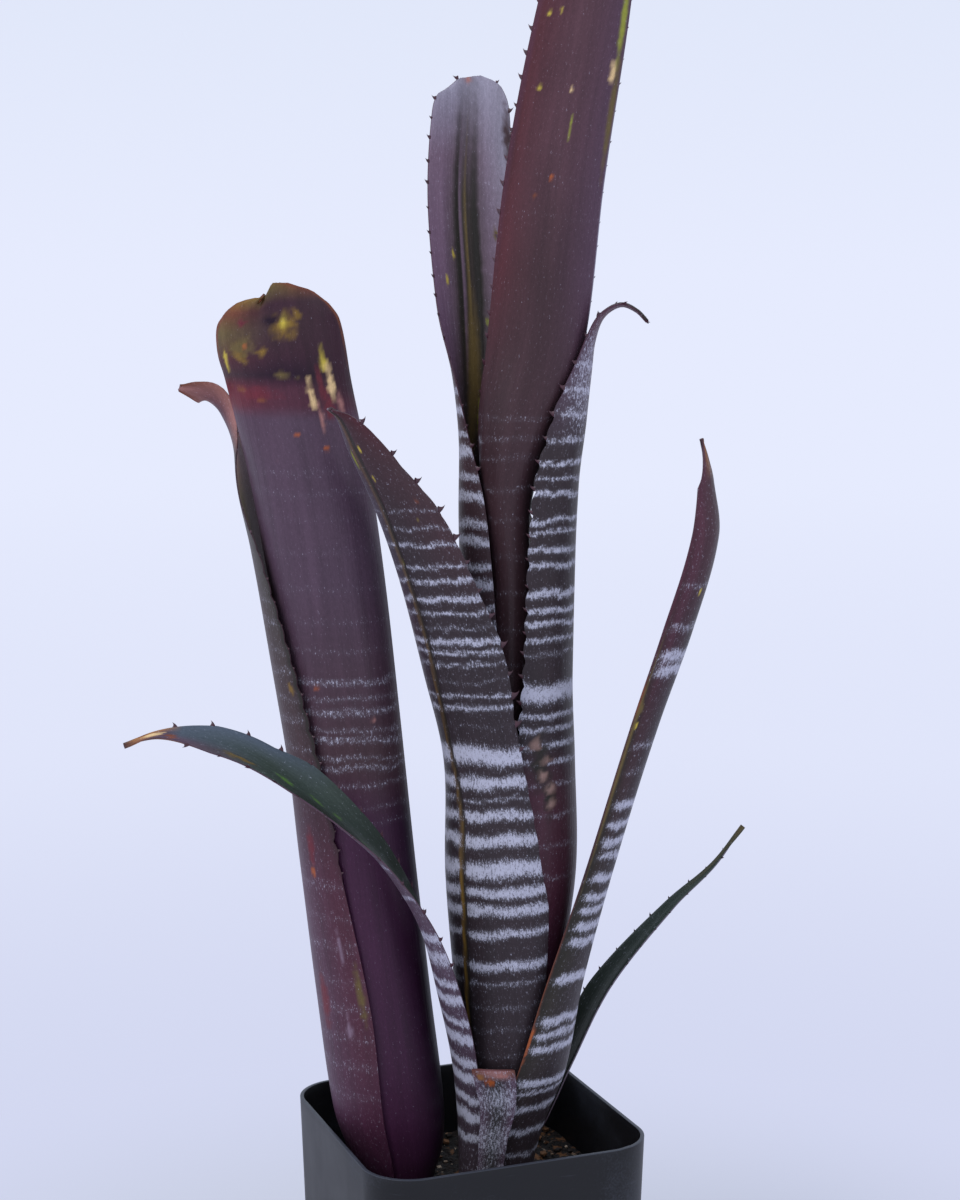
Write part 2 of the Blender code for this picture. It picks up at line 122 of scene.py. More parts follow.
LEAVES = {
    "tall_leaf": Leaf(MAIN, 1, 10, 300, [
        sheath(8.2, 2, 3, 0, 10, 300),
        sheath(10, 2, 20, 0, 10, 300),
        sheath(12.5, 2, 80, 0.2, 8, 300),
        sheath(13, 1, 165, 0.2, 5, 300),
        sheath(13, 1, 192, 0.4, 3, 285),
        sheath(11.8, 1, 214, 2.2, 0, 225),
        sheath(14.4, 3, 235, 6.1, 0, 155),
        blade(20.5, -8, 262, 33, 2, 100),
        blade(26, -10, 310, 32, 3, 82),
        blade(34.5, -15, 360, 28, 5, 66),
        blade(37.6, -17, 376, 22, 5, 60),
        blade(39.2, -18, 384, 11, 5, 50),
        blade(39.8, -18.4, 387, 3, 5, 40),
    ]),
    "back_left_leaf": Leaf(MAIN, 2, 250, 220, [
        sheath(8.2, 2, 3, 0.1, 250, 220),
        sheath(10, 2, 20, 1, 250, 220),
        sheath(12, 2, 80, 2.8, 250, 222),
        sheath(9.5, 3, 165, 3.8, 248, 222),
        sheath(8, 3, 200, 3.8, 243, 220),
        sheath(7.2, 4, 217, 3.2, 235, 218),
        sheath(6.8, 5, 233, 2.8, 215, 206),
        sheath(5.2, 5, 250, 2.8, 198, 188),
        blade(1.6, 15, 274, 28, 188, 105),
        blade(0, 16, 304, 27, 185, 78),
        blade(0.8, 17, 328, 25, 182, 66),
        blade(1, 17.5, 336, 20, 180, 54),
        blade(0.4, 18, 340.5, 7, 180, 36),
    ]),
    "right_leaf": Leaf(MAIN, 3, 60, 170, [
        sheath(10.2, 2, 20, 1.4, 62, 170),
        sheath(12.2, 2, 40, 3.8, 65, 170),
        sheath(13.6, 2.6, 67, 6.8, 68, 170),
        sheath(16, 3.5, 100, 9.2, 72, 168),
        sheath(15.5, 3.5, 135, 9.2, 80, 158),
        sheath(15.5, 3, 162, 8.4, 84, 148),
        sheath(20.5, 3, 219, 4.8, 76, 142),
        sheath(25.6, 2.5, 238, 1.8, 74, 136),
        blade(37, 1, 254, 17, 76, 110),
        blade(38, 0.5, 262, 12, 80, 90),
        blade(40.6, 0, 269, 9, 84, 80),
        blade(45.6, 0, 272.2, 6.5, 86, 70),
        blade(50, -0.4, 270.6, 4.5, 86, 60),
        blade(53, -0.6, 267.6, 2, 86, 50),
    ]),
    "front_leaf": Leaf(MAIN, 4, -25, 170, [
        sheath(10, 2, 20, 1.8, -30, 168),
        sheath(11.6, 1.4, 40, 4.2, -35, 166),
        sheath(12.4, 0.8, 67, 7.4, -40, 164),
        sheath(12.6, 0, 100, 10, -45, 162),
        sheath(12, 0, 135, 9.8, -48, 136),
        sheath(6.2, -3, 163, 10.2, -46, 130),
        sheath(-3, -8, 190, 7.4, -45, 122),
        sheath(-14, -15, 214, 3.8, -44, 126),
        sheath(-26.4, -23, 231, -1.6, -44, 134),
        blade(-36.2, -32, 240.5, 9, -48, 90),
        blade(-39.2, -34.4, 243.4, 3, -50, 50),
    ]),
    "main_back_leaf": Leaf(MAIN, 4, 160, 140, [
        sheath(9, 2, 8, 0.8, 160, 140),
        sheath(10.4, 2.4, 20, 2.4, 160, 136),
        sheath(12.6, 4, 40, 4.8, 162, 128),
        sheath(13.6, 5, 67, 8, 168, 112),
        sheath(14, 6.4, 100, 9.2, 176, 94),
        sheath(13.4, 8, 135, 8.4, 178, 84),
        blade(14.6, 28, 162, 24, 178, 80),
        blade(15.6, 35, 184, 18, 178, 70),
        blade(16.6, 42, 201, 10, 178, 60),
        blade(17.2, 46.4, 210, 2.4, 178, 50),
    ]),
    "right_front_leaf": Leaf(MAIN, 5, 40, 116, [
        sheath(9, 2, 8, 1, 41, 114),
        sheath(10.8, 1.6, 20, 2.4, 43, 112),
        sheath(15.5, 0.4, 38, 4.2, 52, 112),
        sheath(22.6, -2.6, 67, 2.2, 62, 118),
        sheath(34, -5.6, 104, 0, 68, 122),
        sheath(47.4, -7.4, 148, -0.6, 70, 130),
        sheath(56.8, -7.6, 177, 0, 70, 132),
        sheath(65, -8, 205, -1, 70, 130),
        blade(72.6, -12, 221, 13, 66, 110),
        blade(70.8, -12.6, 228, 7.4, 62, 90),
        blade(69.2, -12.8, 234, 2.2, 60, 60),
    ]),
    "far_right_leaf": Leaf(MAIN, 5, 146, 54, [
        sheath(9.4, 2.2, 8, 1.8, 143, 54),
        sheath(13.2, 1.7, 18, 1.5, 138, 56),
        blade(31, 13, 36, 11.4, 126, 64, 4),
        blade(43.4, 15, 59.6, 10, 120, 64, 8),
        blade(64, 18, 84, 8, 118, 58, 14),
        blade(78, 19.6, 97, 5.6, 118, 52, 18),
        blade(87, 20.6, 109, 1.8, 122, 40, 18),
    ]),
    "low_left_leaf": Leaf(MAIN, 5, -72, 98, [
        sheath(9.6, 1.4, 20, 2, -68, 96),
        blade(-4, -8.6, 42, 19, -64, 84),
        blade(-7.6, -16.4, 64, 17, -60, 80),
        blade(-14, -23, 88, 15.5, -62, 76, -8),
        blade(-25.4, -28, 109, 15, -66, 70, -18),
        blade(-37.5, -31, 123, 14.4, -70, 66, -28),
        blade(-50, -33, 134.4, 13.6, -74, 62, -36),
        blade(-64, -35, 144, 12, -76, 58, -42),
        blade(-78, -36.4, 149, 9.4, -78, 50, -46),
        blade(-89, -37.2, 150, 5.8, -80, 44, -46),
        blade(-99, -38, 147, 1.8, -80, 40, -46),
    ]),
    "cut_leaf_stub": Leaf(MAIN, 6, -8, 34, [
        sheath(8.2, 2, 2, 0.6, -8, 34),
        sheath(9.6, 1, 18, 2, -8, 36),
        sheath(10.7, 1.9, 28, 4.2, -6, 38),
        sheath(9.7, 2.2, 37, 6.2, -4, 40),
        sheath(8.3, 1.6, 42, 6.8, -2, 40),
    ]),
    "pup_back_leaf": Leaf(PUP, 1, 180, 170, [
        sheath(-22, 4.2, 1, 0.6, 180, 170),
        sheath(-22.4, 5, 10, 2.6, 180, 168),
        sheath(-24, 5.6, 24, 4.8, 180, 165),
        sheath(-28.3, 5.4, 60, 5.4, 180, 160),
        sheath(-33, 6, 104, 4.8, 182, 150),
        sheath(-36.8, 6.4, 150, 4.6, 182, 135),
        sheath(-40.4, 7, 190, 4.6, 184, 110),
        blade(-45.6, 25, 216, 20, 186, 80),
        blade(-47.4, 28, 232, 13, 188, 60),
        blade(-48.6, 30, 241, 3, 188, 50),
    ]),
    "pup_front_leaf": Leaf(PUP, 2, -2, 178, [
        sheath(-22, 4, 1, 0.6, -2, 178),
        sheath(-22.2, 4, 10, 3.2, -2, 178),
        sheath(-24, 4, 24, 5.6, -2, 178),
        sheath(-28.3, 4, 60, 6, -4, 176),
        sheath(-33.2, 4, 104, 6.4, -6, 172),
        sheath(-37.6, 4, 150, 6.3, -6, 170),
        sheath(-42.6, 4.4, 190, 7.2, -4, 164),
        sheath(-48, 5.4, 225, 8.2, -2, 152),
        sheath(-53.6, 7.4, 251, 9.8, 0, 132),
        blade(-56.2, -14.2, 265, 44, 0, 112),
        blade(-56.8, -15, 272, 36, 0, 96),
        blade(-57, -15.2, 277, 24, 0, 74),
        blade(-57, -15.3, 279.4, 10, 0, 50),
    ]),
    "pup_outer_leaf": Leaf(PUP, 3, -92, 176, [
        sheath(-22, 4, 1, 0.6, -92, 176),
        sheath(-22.4, 4, 10, 3.4, -92, 176),
        sheath(-24.2, 4, 24, 6, -92, 174),
        sheath(-28.6, 4, 60, 6.4, -88, 170),
        sheath(-33.4, 4, 104, 6.6, -94, 156),
        sheath(-36.2, 4, 132, 6.7, -96, 144),
        sheath(-42, 4.4, 172, 7.2, -102, 124),
        sheath(-46, 5, 198, 7.5, -108, 102),
        sheath(-48.8, 6, 221, 9.2, -112, 62),
        blade(-73.8, 8.4, 238, 16, -106, 60, 30),
        blade(-77, 4, 244.6, 11.6, -98, 56, 56),
        blade(-81.4, 2, 247, 7, -94, 46, 66),
        blade(-86, 0, 248, 2.4, -90, 40, 66),
    ]),
}

# How a leaf is coloured. Places on it are given as millimetres along it from its foot and as a
# share of its half width, -1 at its left margin and 1 at its right one, seen from outside.
# `ground` and `lining` are the outer and inner face's colours: at each distance along, the
# left, the middle and the right one. `bands` are the white cross bands of scales: distance
# along, half width and strength. `spots` are (colour, along, share, half width, half length).
# `spines` are (margin, first, last, spacing, length) and `scallops` (margin, first, last,
# spacing, depth, bulge). `dust` is the scales' strength all over the outer and the inner face,
# `slant` how far the bands lean, and `tip` the length over which a leaf is drawn to a point.
Look = namedtuple("Look", "ground lining bands spots inner_spots spines scallops dust slant tip")


def even_bands(first, last, spacing, half_width, strength):
    """Bands at an even spacing, their widths and strengths varied a little in turn."""
    count = int((last - first) / spacing) + 1
    sway = (0, 0.8, -0.6, 0.3, -0.9, 0.5)
    return [
        (
            first + i * spacing + sway[i % 6],
            half_width * (1 + 0.25 * sway[(i + 2) % 6]),
            strength * (1 + 0.15 * sway[(i + 4) % 6]),
        )
        for i in range(count)
    ]


def look(
    ground, lining, dust, bands=(), spots=(), inner_spots=(), spines=(), scallops=(), slant=0, tip=0
):
    """A leaf's look, plain in whatever isn't given."""
    return Look(ground, lining, bands, spots, inner_spots, spines, scallops, dust, slant, tip)


PLAIN_LINING = [(0, "charcoal", "charcoal", "charcoal"), (200, "bronze", "bronze", "bronze")]

LOOKS = {
    "tall_leaf": look(
        ground=[
            (0, "purple", "purple", "purple"),
            (120, "umber", "umber", "umber"),
            # Round 210 mm the right side darkens to charcoal: painted shade.
            (210, "umber", "umber", "charcoal"),
            (250, "umber", "umber", "umber"),
            (290, "maroon", "umber", "plum_grey"),
            (330, "maroon", "mauve_brown", "plum_grey"),
            (394, "maroon", "mauve_brown", "plum_grey"),
        ],
        lining=[
            (0, "charcoal", "charcoal", "charcoal"), (230, "bronze", "plum_grey", "bronze"),
            (394, "maroon", "plum_grey", "maroon"),
        ],
        bands=[
            (247, 1.0, 0.3), (241, 1.2, 0.32), (235, 1.2, 0.26), (226, 1.4, 0.3), (216, 1.2, 0.26),
            (205, 1.3, 0.25), (194, 1.2, 0.28), (183, 1.3, 0.3), (172, 1.3, 0.3), (325, 0.8, 0.1),
            (318, 0.8, 0.1), (307, 0.8, 0.12),
        ],
        spots=[
            ("cream", 350, 0.8, 1.2, 3.0), ("yellow", 363.6, -0.7, 0.7, 0.9),
            ("yellow", 365, -0.47, 0.4, 0.6), ("yellow", 342.6, -0.6, 0.7, 0.9),
            ("cream", 343.6, 0.0, 0.5, 0.8), ("lime", 365, 0.86, 1.1, 14),
            ("lime", 390, 0.7, 1.2, 4), ("olive", 340, 0.9, 1.2, 18),
            ("orange", 318, -0.1, 0.6, 0.6), ("rust", 312, -0.35, 0.6, 0.6),
            ("lime", 333, 0.1, 0.25, 4), ("wine", 340, -0.96, 1.4, 50),
            # The dark bronze strip along the right margin, about 115 mm to 265 mm along, is painted
            # shadow in the gap beside the right leaf; the thin lilac ash line along the upper right
            # margin is a painted highlight.
            ("bronze_dark", 190, 0.98, 3.0, 75), ("lilac_ash", 300, 0.99, 0.35, 60),
            ("scurf", 232, -0.82, 1.6, 14), ("scurf", 205, -0.7, 1.8, 22),
            ("scurf", 180, -0.5, 1.6, 18),
        ],
        spines=[(-1, 150, 388, 7.5, 1.7), (1, 266, 388, 8.2, 0.9)],
        scallops=[(1, 128, 262, 8.2, 1.3, 3.0), (-1, 200, 262, 7.5, 0.6, 0.4)],
        dust=(0.04, 0.15),
    ),
    "back_left_leaf": look(
        ground=[
            (0, "purple", "purple", "purple"),
            (150, "charcoal", "charcoal", "charcoal"),
            (250, "umber", "umber", "umber"),
            (300, "plum_grey", "plum_grey", "plum_grey"),
            (350, "mauve_brown", "mauve_brown", "mauve_brown"),
        ],
        lining=[
            (0, "charcoal", "charcoal", "charcoal"),
            (225, "bronze", "bronze", "bronze"),
            (255, "ash_plum", "bronze", "mauve"),
            (290, "ash_plum", "ash_plum", "mauve"),
            (325, "lilac_ash", "ash_plum", "ash_plum"),
            (345, "lilac_ash", "lilac_ash", "lilac_ash"),
        ],
        bands=even_bands(150, 256, 6.6, 1.7, 0.95) + even_bands(262, 330, 9, 1.2, 0.3),
        inner_spots=[
            # The bronze, dark bronze and olive streaks down the middle are the channel's own olive brown,
            # deepened with painted shade of the groove.
            ("bronze", 286, 0.1, 6.2, 60), ("bronze_dark", 292, 0.27, 1.5, 46),
            ("bronze_dark", 288, -0.13, 1.4, 50), ("olive", 258, 0.06, 2.6, 26),
            ("olive", 285, 0.08, 0.5, 46), ("ash_plum", 296, 0.2, 0.4, 40),
            ("lime", 275, -0.27, 0.6, 1.2), ("yellow", 289, 0.63, 0.45, 1.8),
            ("lime", 262, -0.45, 1.2, 4), ("lime", 247, -0.1, 0.8, 5),
            # The blush spot at 348 mm is a painted highlight where the tip bends back.
            ("blush", 348, 0.15, 1.3, 1.2), ("yellow", 296, 0.42, 0.5, 1.4),
            ("olive", 301, -0.55, 0.7, 2.2), ("umber", 330, -0.92, 1.6, 9),
        ],
        spines=[(-1, 210, 348, 6.6, 1.5), (1, 232, 349, 6.4, 1.4)],
        scallops=[(-1, 205, 330, 6.6, 1.3, 1.4)],
        dust=(0.14, 0.12),
    ),
    "right_leaf": look(
        ground=[
            (0, "purple", "purple", "purple"),
            (100, "wine", "wine", "plum_grey"),
            (135, "wine", "umber", "slate"),
            (150, "charcoal", "charcoal", "slate"),
            (240, "charcoal", "charcoal", "slate"),
            (265, "slate", "slate", "slate"),
            (280, "wine", "wine", "wine"),
        ],
        lining=PLAIN_LINING,
        bands=[
            (264, 0.8, 0.4), (256, 0.9, 0.5), (249, 0.8, 0.45), (242, 1.0, 0.6), (235, 1.0, 0.95),
            (230.6, 0.8, 0.7), (226, 1.1, 0.9), (218, 1.1, 0.9), (214.5, 0.8, 0.8), (209, 1.1, 0.9),
            (204.3, 1.2, 0.95), (196, 1.4, 1.0), (191, 1.1, 0.95), (187, 1.1, 0.95), (182.3, 1.0, 0.8),
            (178, 0.9, 0.5), (166.4, 3.0, 1.2), (159.5, 1.1, 0.9), (155, 1.2, 0.9), (150, 1.2, 0.85),
            (145, 1.1, 0.75), (138, 0.9, 0.45), (129, 1.0, 0.4), (118.7, 1.0, 0.35), (109, 1.0, 0.3),
        ],
        spots=[
            ("bronze_dark", 145, -0.72, 2.8, 9), ("bronze_dark", 135, -0.6, 2.4, 6),
            ("scurf", 260, -0.3, 7.0, 20), ("scab", 151, -0.76, 1.9, 1.9),
            ("scab", 146, -0.66, 2.1, 2.1), ("scab", 141, -0.7, 1.6, 1.7),
            ("scab", 137, -0.58, 2.0, 1.9), ("scab", 132, -0.56, 1.5, 1.5),
            ("bronze_dark", 146.4, -0.6, 0.7, 0.7), ("bronze_dark", 137.4, -0.6, 0.6, 0.6),
            ("bronze_dark", 151, -0.7, 0.5, 0.6),
        ],
        spines=[(-1, 150, 300, 7.2, 1.5), (1, 205, 300, 6.6, 1.3)],
        scallops=[(-1, 140, 262, 7.2, 1.1, 1.8)],
        dust=(0.14, 0.2),
    ),
    "front_leaf": look(
        ground=[
            (0, "charcoal", "charcoal", "charcoal"),
            (70, "slate_dark", "charcoal", "charcoal"),
            (150, "slate_dark", "charcoal", "charcoal"),
            (190, "ash_plum", "charcoal", "charcoal"),
            (215, "lilac_ash", "charcoal", "umber"),
            (240, "lilac_ash", "umber", "umber"),
            (256, "lilac_ash", "umber", "maroon"),
        ],
        lining=PLAIN_LINING,
        bands=[
            (225, 0.7, 0.4), (219, 0.8, 0.45), (213.8, 1.0, 0.7), (206.5, 0.8, 0.7),
            (202.3, 0.9, 0.85), (196.5, 1.1, 0.95), (192.1, 0.9, 0.8), (187.5, 0.7, 0.5),
            (183.2, 1.2, 0.95), (179.6, 1.0, 0.85), (175.8, 0.8, 0.6), (170.5, 0.6, 0.3),
            (165.8, 0.9, 0.7), (162, 1.0, 0.8), (156, 0.5, 0.2), (146.8, 3.1, 1.1),
            (138.2, 2.2, 1.05), (133, 0.8, 0.6), (128, 1.9, 1.0), (120.7, 2.1, 1.05),
            (111.9, 3.2, 1.1), (104.6, 1.9, 1.05), (98.9, 2.0, 1.0), (91.6, 1.6, 0.9),
            (81.5, 1.9, 0.95), (75.8, 1.0, 0.5), (68, 0.9, 0.3), (60, 0.9, 0.25), (52, 0.8, 0.2),
            (44, 0.8, 0.2),
        ],
        spots=[
            ("yellow", 246, 0.2, 0.35, 1.2), ("yellow", 236, 0.1, 0.3, 1.0),
            ("yellow", 222, 0.55, 0.35, 0.5), ("orange", 229, 0.7, 0.4, 0.5),
            ("yellow", 208, -0.1, 0.3, 0.9), ("orange", 184, 0.85, 0.4, 0.5),
            ("lime", 242, -0.2, 0.4, 3),
        ],
        spines=[(1, 150, 259, 8.6, 2.1), (-1, 190, 256, 8.6, 1.2)],
        scallops=[
            (1, 172, 256, 8.6, 0.3, 1.7), (1, 100, 172, 8.6, 0.3, -1.8),
            (-1, 100, 256, 8.6, 0, 2.5),
        ],
        dust=(0.16, 0.2),
        slant=0.06,
    ),
    "main_back_leaf": look(
        ground=[
            (0, "purple", "purple", "purple"), (100, "charcoal", "charcoal", "charcoal"),
            (218, "umber", "maroon", "umber"),
        ],
        lining=PLAIN_LINING,
        bands=even_bands(70, 205, 7.4, 1.6, 0.9),
        spines=[(-1, 150, 212, 7.6, 1.3), (1, 150, 212, 7.6, 1.3)],
        dust=(0.25, 0.25),
    ),
    "right_front_leaf": look(
        # The dark olive along the left side and the dark olive lining are the inner face's olive brown,
        # darkened with painted shade.
        ground=[
            (0, "charcoal", "charcoal", "charcoal"),
            (100, "olive_dark", "charcoal", "charcoal"),
            (190, "wine", "charcoal", "slate"),
            (215, "wine", "umber", "plum_grey"),
            (238, "wine", "umber", "wine"),
            (248, "wine", "tan", "wine"),
            (258, "wine", "rust", "wine"),
        ],
        lining=[(0, "olive_dark", "olive_dark", "olive_dark"), (260, "umber", "umber", "umber")],
        bands=[
            (206, 1.2, 0.35), (193, 1.4, 0.5), (184, 2.2, 0.95), (179.4, 2.4, 0.95), (155.2, 1.6, 0.5),
            (147, 1.0, 0.3), (136, 1.8, 1.0), (130, 1.6, 1.0), (124.1, 1.9, 1.1), (119.5, 1.5, 1.0),
            (112.3, 1.9, 1.05), (106, 1.6, 1.05), (102, 1.4, 1.0), (97, 1.8, 1.05), (91.7, 1.9, 1.05),
            (80, 1.8, 1.0), (66.5, 1.8, 1.0), (62, 1.4, 0.95), (57.5, 1.6, 1.0), (45.7, 1.6, 1.0),
            (42.2, 1.0, 0.8), (36, 1.4, 0.9), (27.6, 1.5, 0.85), (19, 1.2, 0.7),
        ],
        spots=[
            # The dark bronze strip along the left margin is painted shade.
            ("bronze_dark", 120, -1.0, 3.2, 100), ("rust", 70, -1.0, 0.45, 45),
            ("wine", 150, -1.0, 0.5, 60), ("olive", 150, -0.93, 0.5, 40),
            ("olive", 168, -0.92, 0.8, 3), ("rust", 172, -0.99, 0.5, 7),
            ("yellow", 162, -0.86, 0.4, 1.0), ("orange", 60, -0.97, 0.6, 6),
            ("wine", 205, -1.0, 1.0, 24), ("umber", 212, 0.1, 1.4, 8), ("tan", 231, 0.5, 1.6, 3),
            ("yellow", 204, -0.3, 0.5, 0.8),
        ],
        spines=[(1, 150, 252, 9.5, 1.1)],
        scallops=[(1, 20, 240, 9.5, 0, 1.5)],
        dust=(0.2, 0.15),
        tip=14,
    ),
    "far_right_leaf": look(
        ground=[
            (0, "charcoal", "charcoal", "charcoal"), (60, "lilac_ash", "ash_plum", "slate"),
            (142, "lilac_ash", "lilac_ash", "slate"),
        ],
        lining=[
            (0, "charcoal", "charcoal", "charcoal"), (50, "moss_dark", "moss_dark", "moss_dark"),
            (110, "moss", "moss", "moss"), (142, "moss", "olive", "moss"),
        ],
        bands=even_bands(30, 100, 7, 1.6, 0.6),
        spines=[(-1, 60, 138, 7.5, 0.9), (1, 60, 138, 7.5, 0.9)],
        dust=(0.35, 0.06),
        tip=70,
    ),
    "low_left_leaf": look(
        ground=[
            (0, "charcoal", "charcoal", "charcoal"), (80, "slate", "slate", "slate"),
            (150, "lilac_ash", "plum_grey", "slate"), (190, "slate", "slate", "slate"),
            (200, "tan", "tan", "tan"), (214, "umber", "umber", "umber"),
        ],
        lining=[
            (0, "charcoal", "charcoal", "charcoal"), (70, "moss_dark", "moss_dark", "moss_dark"),
            (120, "moss_dark", "moss_dark", "moss_dark"), (150, "moss", "moss", "moss_dark"),
            (170, "steel", "moss", "moss"), (196, "steel", "steel", "slate"),
            (201, "tan", "slate", "slate"), (205, "tan", "tan", "slate"),
            (209, "tan", "tan", "rust"), (213, "umber", "umber", "umber"),
        ],
        bands=even_bands(24, 82, 7.2, 1.9, 1.0)
        + [(90, 3.0, 0.8), (97, 2.0, 0.9), (112, 1.2, 0.6), (124, 1.2, 0.5)],
        inner_spots=[
            ("leaf_green", 163, 0.35, 1.0, 3.0), ("leaf_green", 152, 0.2, 0.8, 2.2),
            ("leaf_green", 133, 0.3, 0.7, 2.4), ("leaf_green", 144, 0.1, 0.9, 2.0),
            ("olive", 178, 0.7, 0.8, 5), ("cream", 204, 0.1, 1.0, 3.0), ("rust", 199, 0.5, 1.4, 1.6),
            ("rust", 207, -0.8, 0.7, 2),
        ],
        spines=[(1, 88, 200, 9.5, 1.6), (-1, 88, 200, 9.5, 1.6)],
        scallops=[(-1, 60, 170, 9.5, 0, 2.2)],
        dust=(0.3, 0.1),
        tip=26,
    ),
    "cut_leaf_stub": look(
        ground=[
            (0, "charcoal", "bronze_dark", "charcoal"),
            (30, "plum_grey", "bronze_dark", "plum_grey"),
            (46, "plum_grey", "bronze_dark", "plum_grey"), (49, "rust", "blush", "rust"),
        ],
        lining=[(0, "umber", "umber", "umber"), (50, "rust", "tan", "rust")],
        bands=[(12, 4, 0.3), (26, 5, 0.3), (39, 4, 0.35)],
        spots=[
            ("orange", 45.4, -0.23, 1.6, 1.2), ("blush", 48, 0.3, 2.2, 0.8),
            ("tan", 47.4, -0.7, 1.4, 0.9),
        ],
        dust=(0.5, 0.2),
    ),
    "pup_back_leaf": look(
        ground=[
            (0, "purple", "purple", "purple"), (140, "plum_grey", "slate", "plum_grey"),
            (245, "olive", "slate", "olive"),
        ],
        lining=PLAIN_LINING,
        bands=even_bands(130, 215, 7.8, 1.8, 0.5),
        spines=[(-1, 190, 240, 8, 1.1), (1, 190, 240, 8, 1.1)],
        dust=(0.15, 0.2),
    ),
    "pup_front_leaf": look(
        ground=[
            (0, "purple", "purple", "violet"),
            (90, "purple", "purple", "violet"),
            (125, "purple", "purple", "violet"),
            (145, "plum_grey", "umber", "umber"),
            (200, "slate", "slate", "slate"),
            (236, "slate", "slate", "slate"),
            (249, "plum_grey", "slate", "plum_grey"),
            (253, "crimson", "wine", "wine"),
            (258, "crimson", "wine", "wine_dark"),
            (262, "umber", "violet", "wine_dark"),
            (268, "maroon", "wine_dark", "wine_dark"),
            (277, "olive", "umber", "wine_dark"),
            (284, "rust", "wine_dark", "umber"),
            (289, "ochre", "olive", "rust"),
            (294, "orange", "orange", "orange"),
        ],
        lining=[
            (0, "charcoal", "charcoal", "charcoal"), (240, "olive", "olive", "olive"),
            (292, "rust", "rust", "rust"),
        ],
        bands=[
            (233, 1.3, 0.22), (227, 1.4, 0.24), (219, 1.2, 0.16), (209, 1.4, 0.18),
            (198, 1.4, 0.2), (188, 1.4, 0.22), (179, 1.4, 0.28),
        ]
        + even_bands(138, 171, 4.4, 1.3, 0.55)
        + [(131, 1.2, 0.35), (126, 1.2, 0.25)],
        spots=[
            ("ochre", 277, 0.12, 3.6, 4.4), ("yellow", 278, 0.13, 1.7, 2.8),
            ("ochre", 280, 0.36, 1.2, 1.6), ("yellow", 266, 0.55, 1.3, 3.0),
            ("cream", 259.5, 0.6, 1.3, 5.0), ("blush", 254, 0.68, 1.5, 3.0),
            ("cream", 256, 0.3, 1.1, 5.0), ("blush", 249, 0.36, 0.8, 4.5),
            ("yellow", 268, -0.82, 0.9, 5.5), ("ochre", 271, -0.55, 2.6, 4.0),
            ("olive", 273, -0.5, 4.0, 3.4), ("ochre", 270, -0.2, 1.6, 1.4),
            ("crimson", 256.5, -0.5, 7.5, 2.0), ("rust", 257.5, -0.65, 2.6, 1.1),
            ("rust", 280, 0.98, 0.9, 15), ("rust", 254.5, -0.35, 1.6, 0.8),
            ("rust", 279, -0.98, 0.9, 12), ("olive", 262, 0.0, 3.0, 1.2),
            ("orange", 273, -0.45, 0.9, 1.2), ("orange", 244.5, 0.02, 1.3, 0.8),
            ("orange", 240.5, 0.34, 0.9, 0.8), ("crimson", 253, 0.5, 1.8, 3.5),
            ("crimson", 259, 0.45, 1.0, 6.0), ("violet", 279, 0.02, 4.0, 1.6),
            ("orange", 168, -0.2, 0.7, 0.8), ("blush", 158, 0.45, 0.6, 0.8),
            ("orange", 236, -0.3, 0.7, 0.6), ("crimson", 280, -0.5, 1.6, 1.6),
        ],
        dust=(0.0, 0.15),
    ),
    "pup_outer_leaf": look(
        ground=[
            (0, "purple", "purple", "purple"),
            (60, "purple", "plum_grey", "wine"),
            (110, "purple", "plum_grey", "wine"),
            (140, "plum_grey", "umber", "umber"),
            (200, "olive", "umber", "bronze"),
            (240, "olive", "slate", "bronze"),
            (254, "blush", "wine", "blush"),
            (268, "rust", "blush", "rust"),
        ],
        lining=[
            (0, "charcoal", "charcoal", "charcoal"), (225, "olive", "umber", "olive"),
            (246, "blush", "wine", "blush"), (268, "rust", "blush", "rust"),
        ],
        bands=even_bands(150, 200, 7.6, 1.4, 0.25) + even_bands(40, 110, 9.5, 1.6, 0.18),
        spots=[
            ("crimson", 118, 0.62, 1.6, 7), ("orange", 111, 0.6, 1.0, 2),
            ("crimson", 70, 0.4, 2.2, 9), ("olive", 74, 0.92, 1.2, 10),
            ("ash_plum", 62, 0.72, 0.9, 4), ("ash_plum", 88, 0.78, 0.6, 5),
            # The dark bronze strip down the right margin is painted shadow in the gap against the pup's
            # front leaf.
            ("ochre", 168, 0.85, 0.8, 1.6), ("bronze_dark", 168, 1.0, 1.5, 58),
        ],
        spines=[(1, 112, 250, 6.8, 1.1), (-1, 190, 250, 7.5, 0.9)],
        scallops=[(1, 108, 228, 6.8, 1.0, 0.2)],
        dust=(0.16, 0.15),
    ),
}

# The front leaf's crease: its place across the leaf at distances along it.
CREASE = (
    (0, -0.1), (60, -0.12), (100, 0.0), (126, 0.03), (150, -0.13), (165, -0.1),
    (180, -0.06), (196, -0.08), (214, -0.1), (231, -0.06), (248, 0.05), (262, 0.05),
)
CREASE_DEPTH = 0.35 * MM
CREASE_HALF_WIDTH = 1.1 * MM
SCAB_HEIGHT = 0.9 * MM

# A spine's steps from its foot: how far out, how far forward, and what share of its girth stays.
SPINE_STEPS = ((0.35, 0.06, 0.62), (0.3, 0.16, 0.6), (0.2, 0.2, 0.5), (0.15, 0.22, 0.3))

# The tip of the pup's front leaf was cut off: its left shoulder hangs, with a notch beside it.
SHOULDER_FROM = 262
SHOULDER_REACH = 30
SHOULDER_DROP = 5 * MM
NOTCH_SHARE = -0.27
NOTCH_DROP = 1.6 * MM
NOTCH_DENT = 1.4 * MM


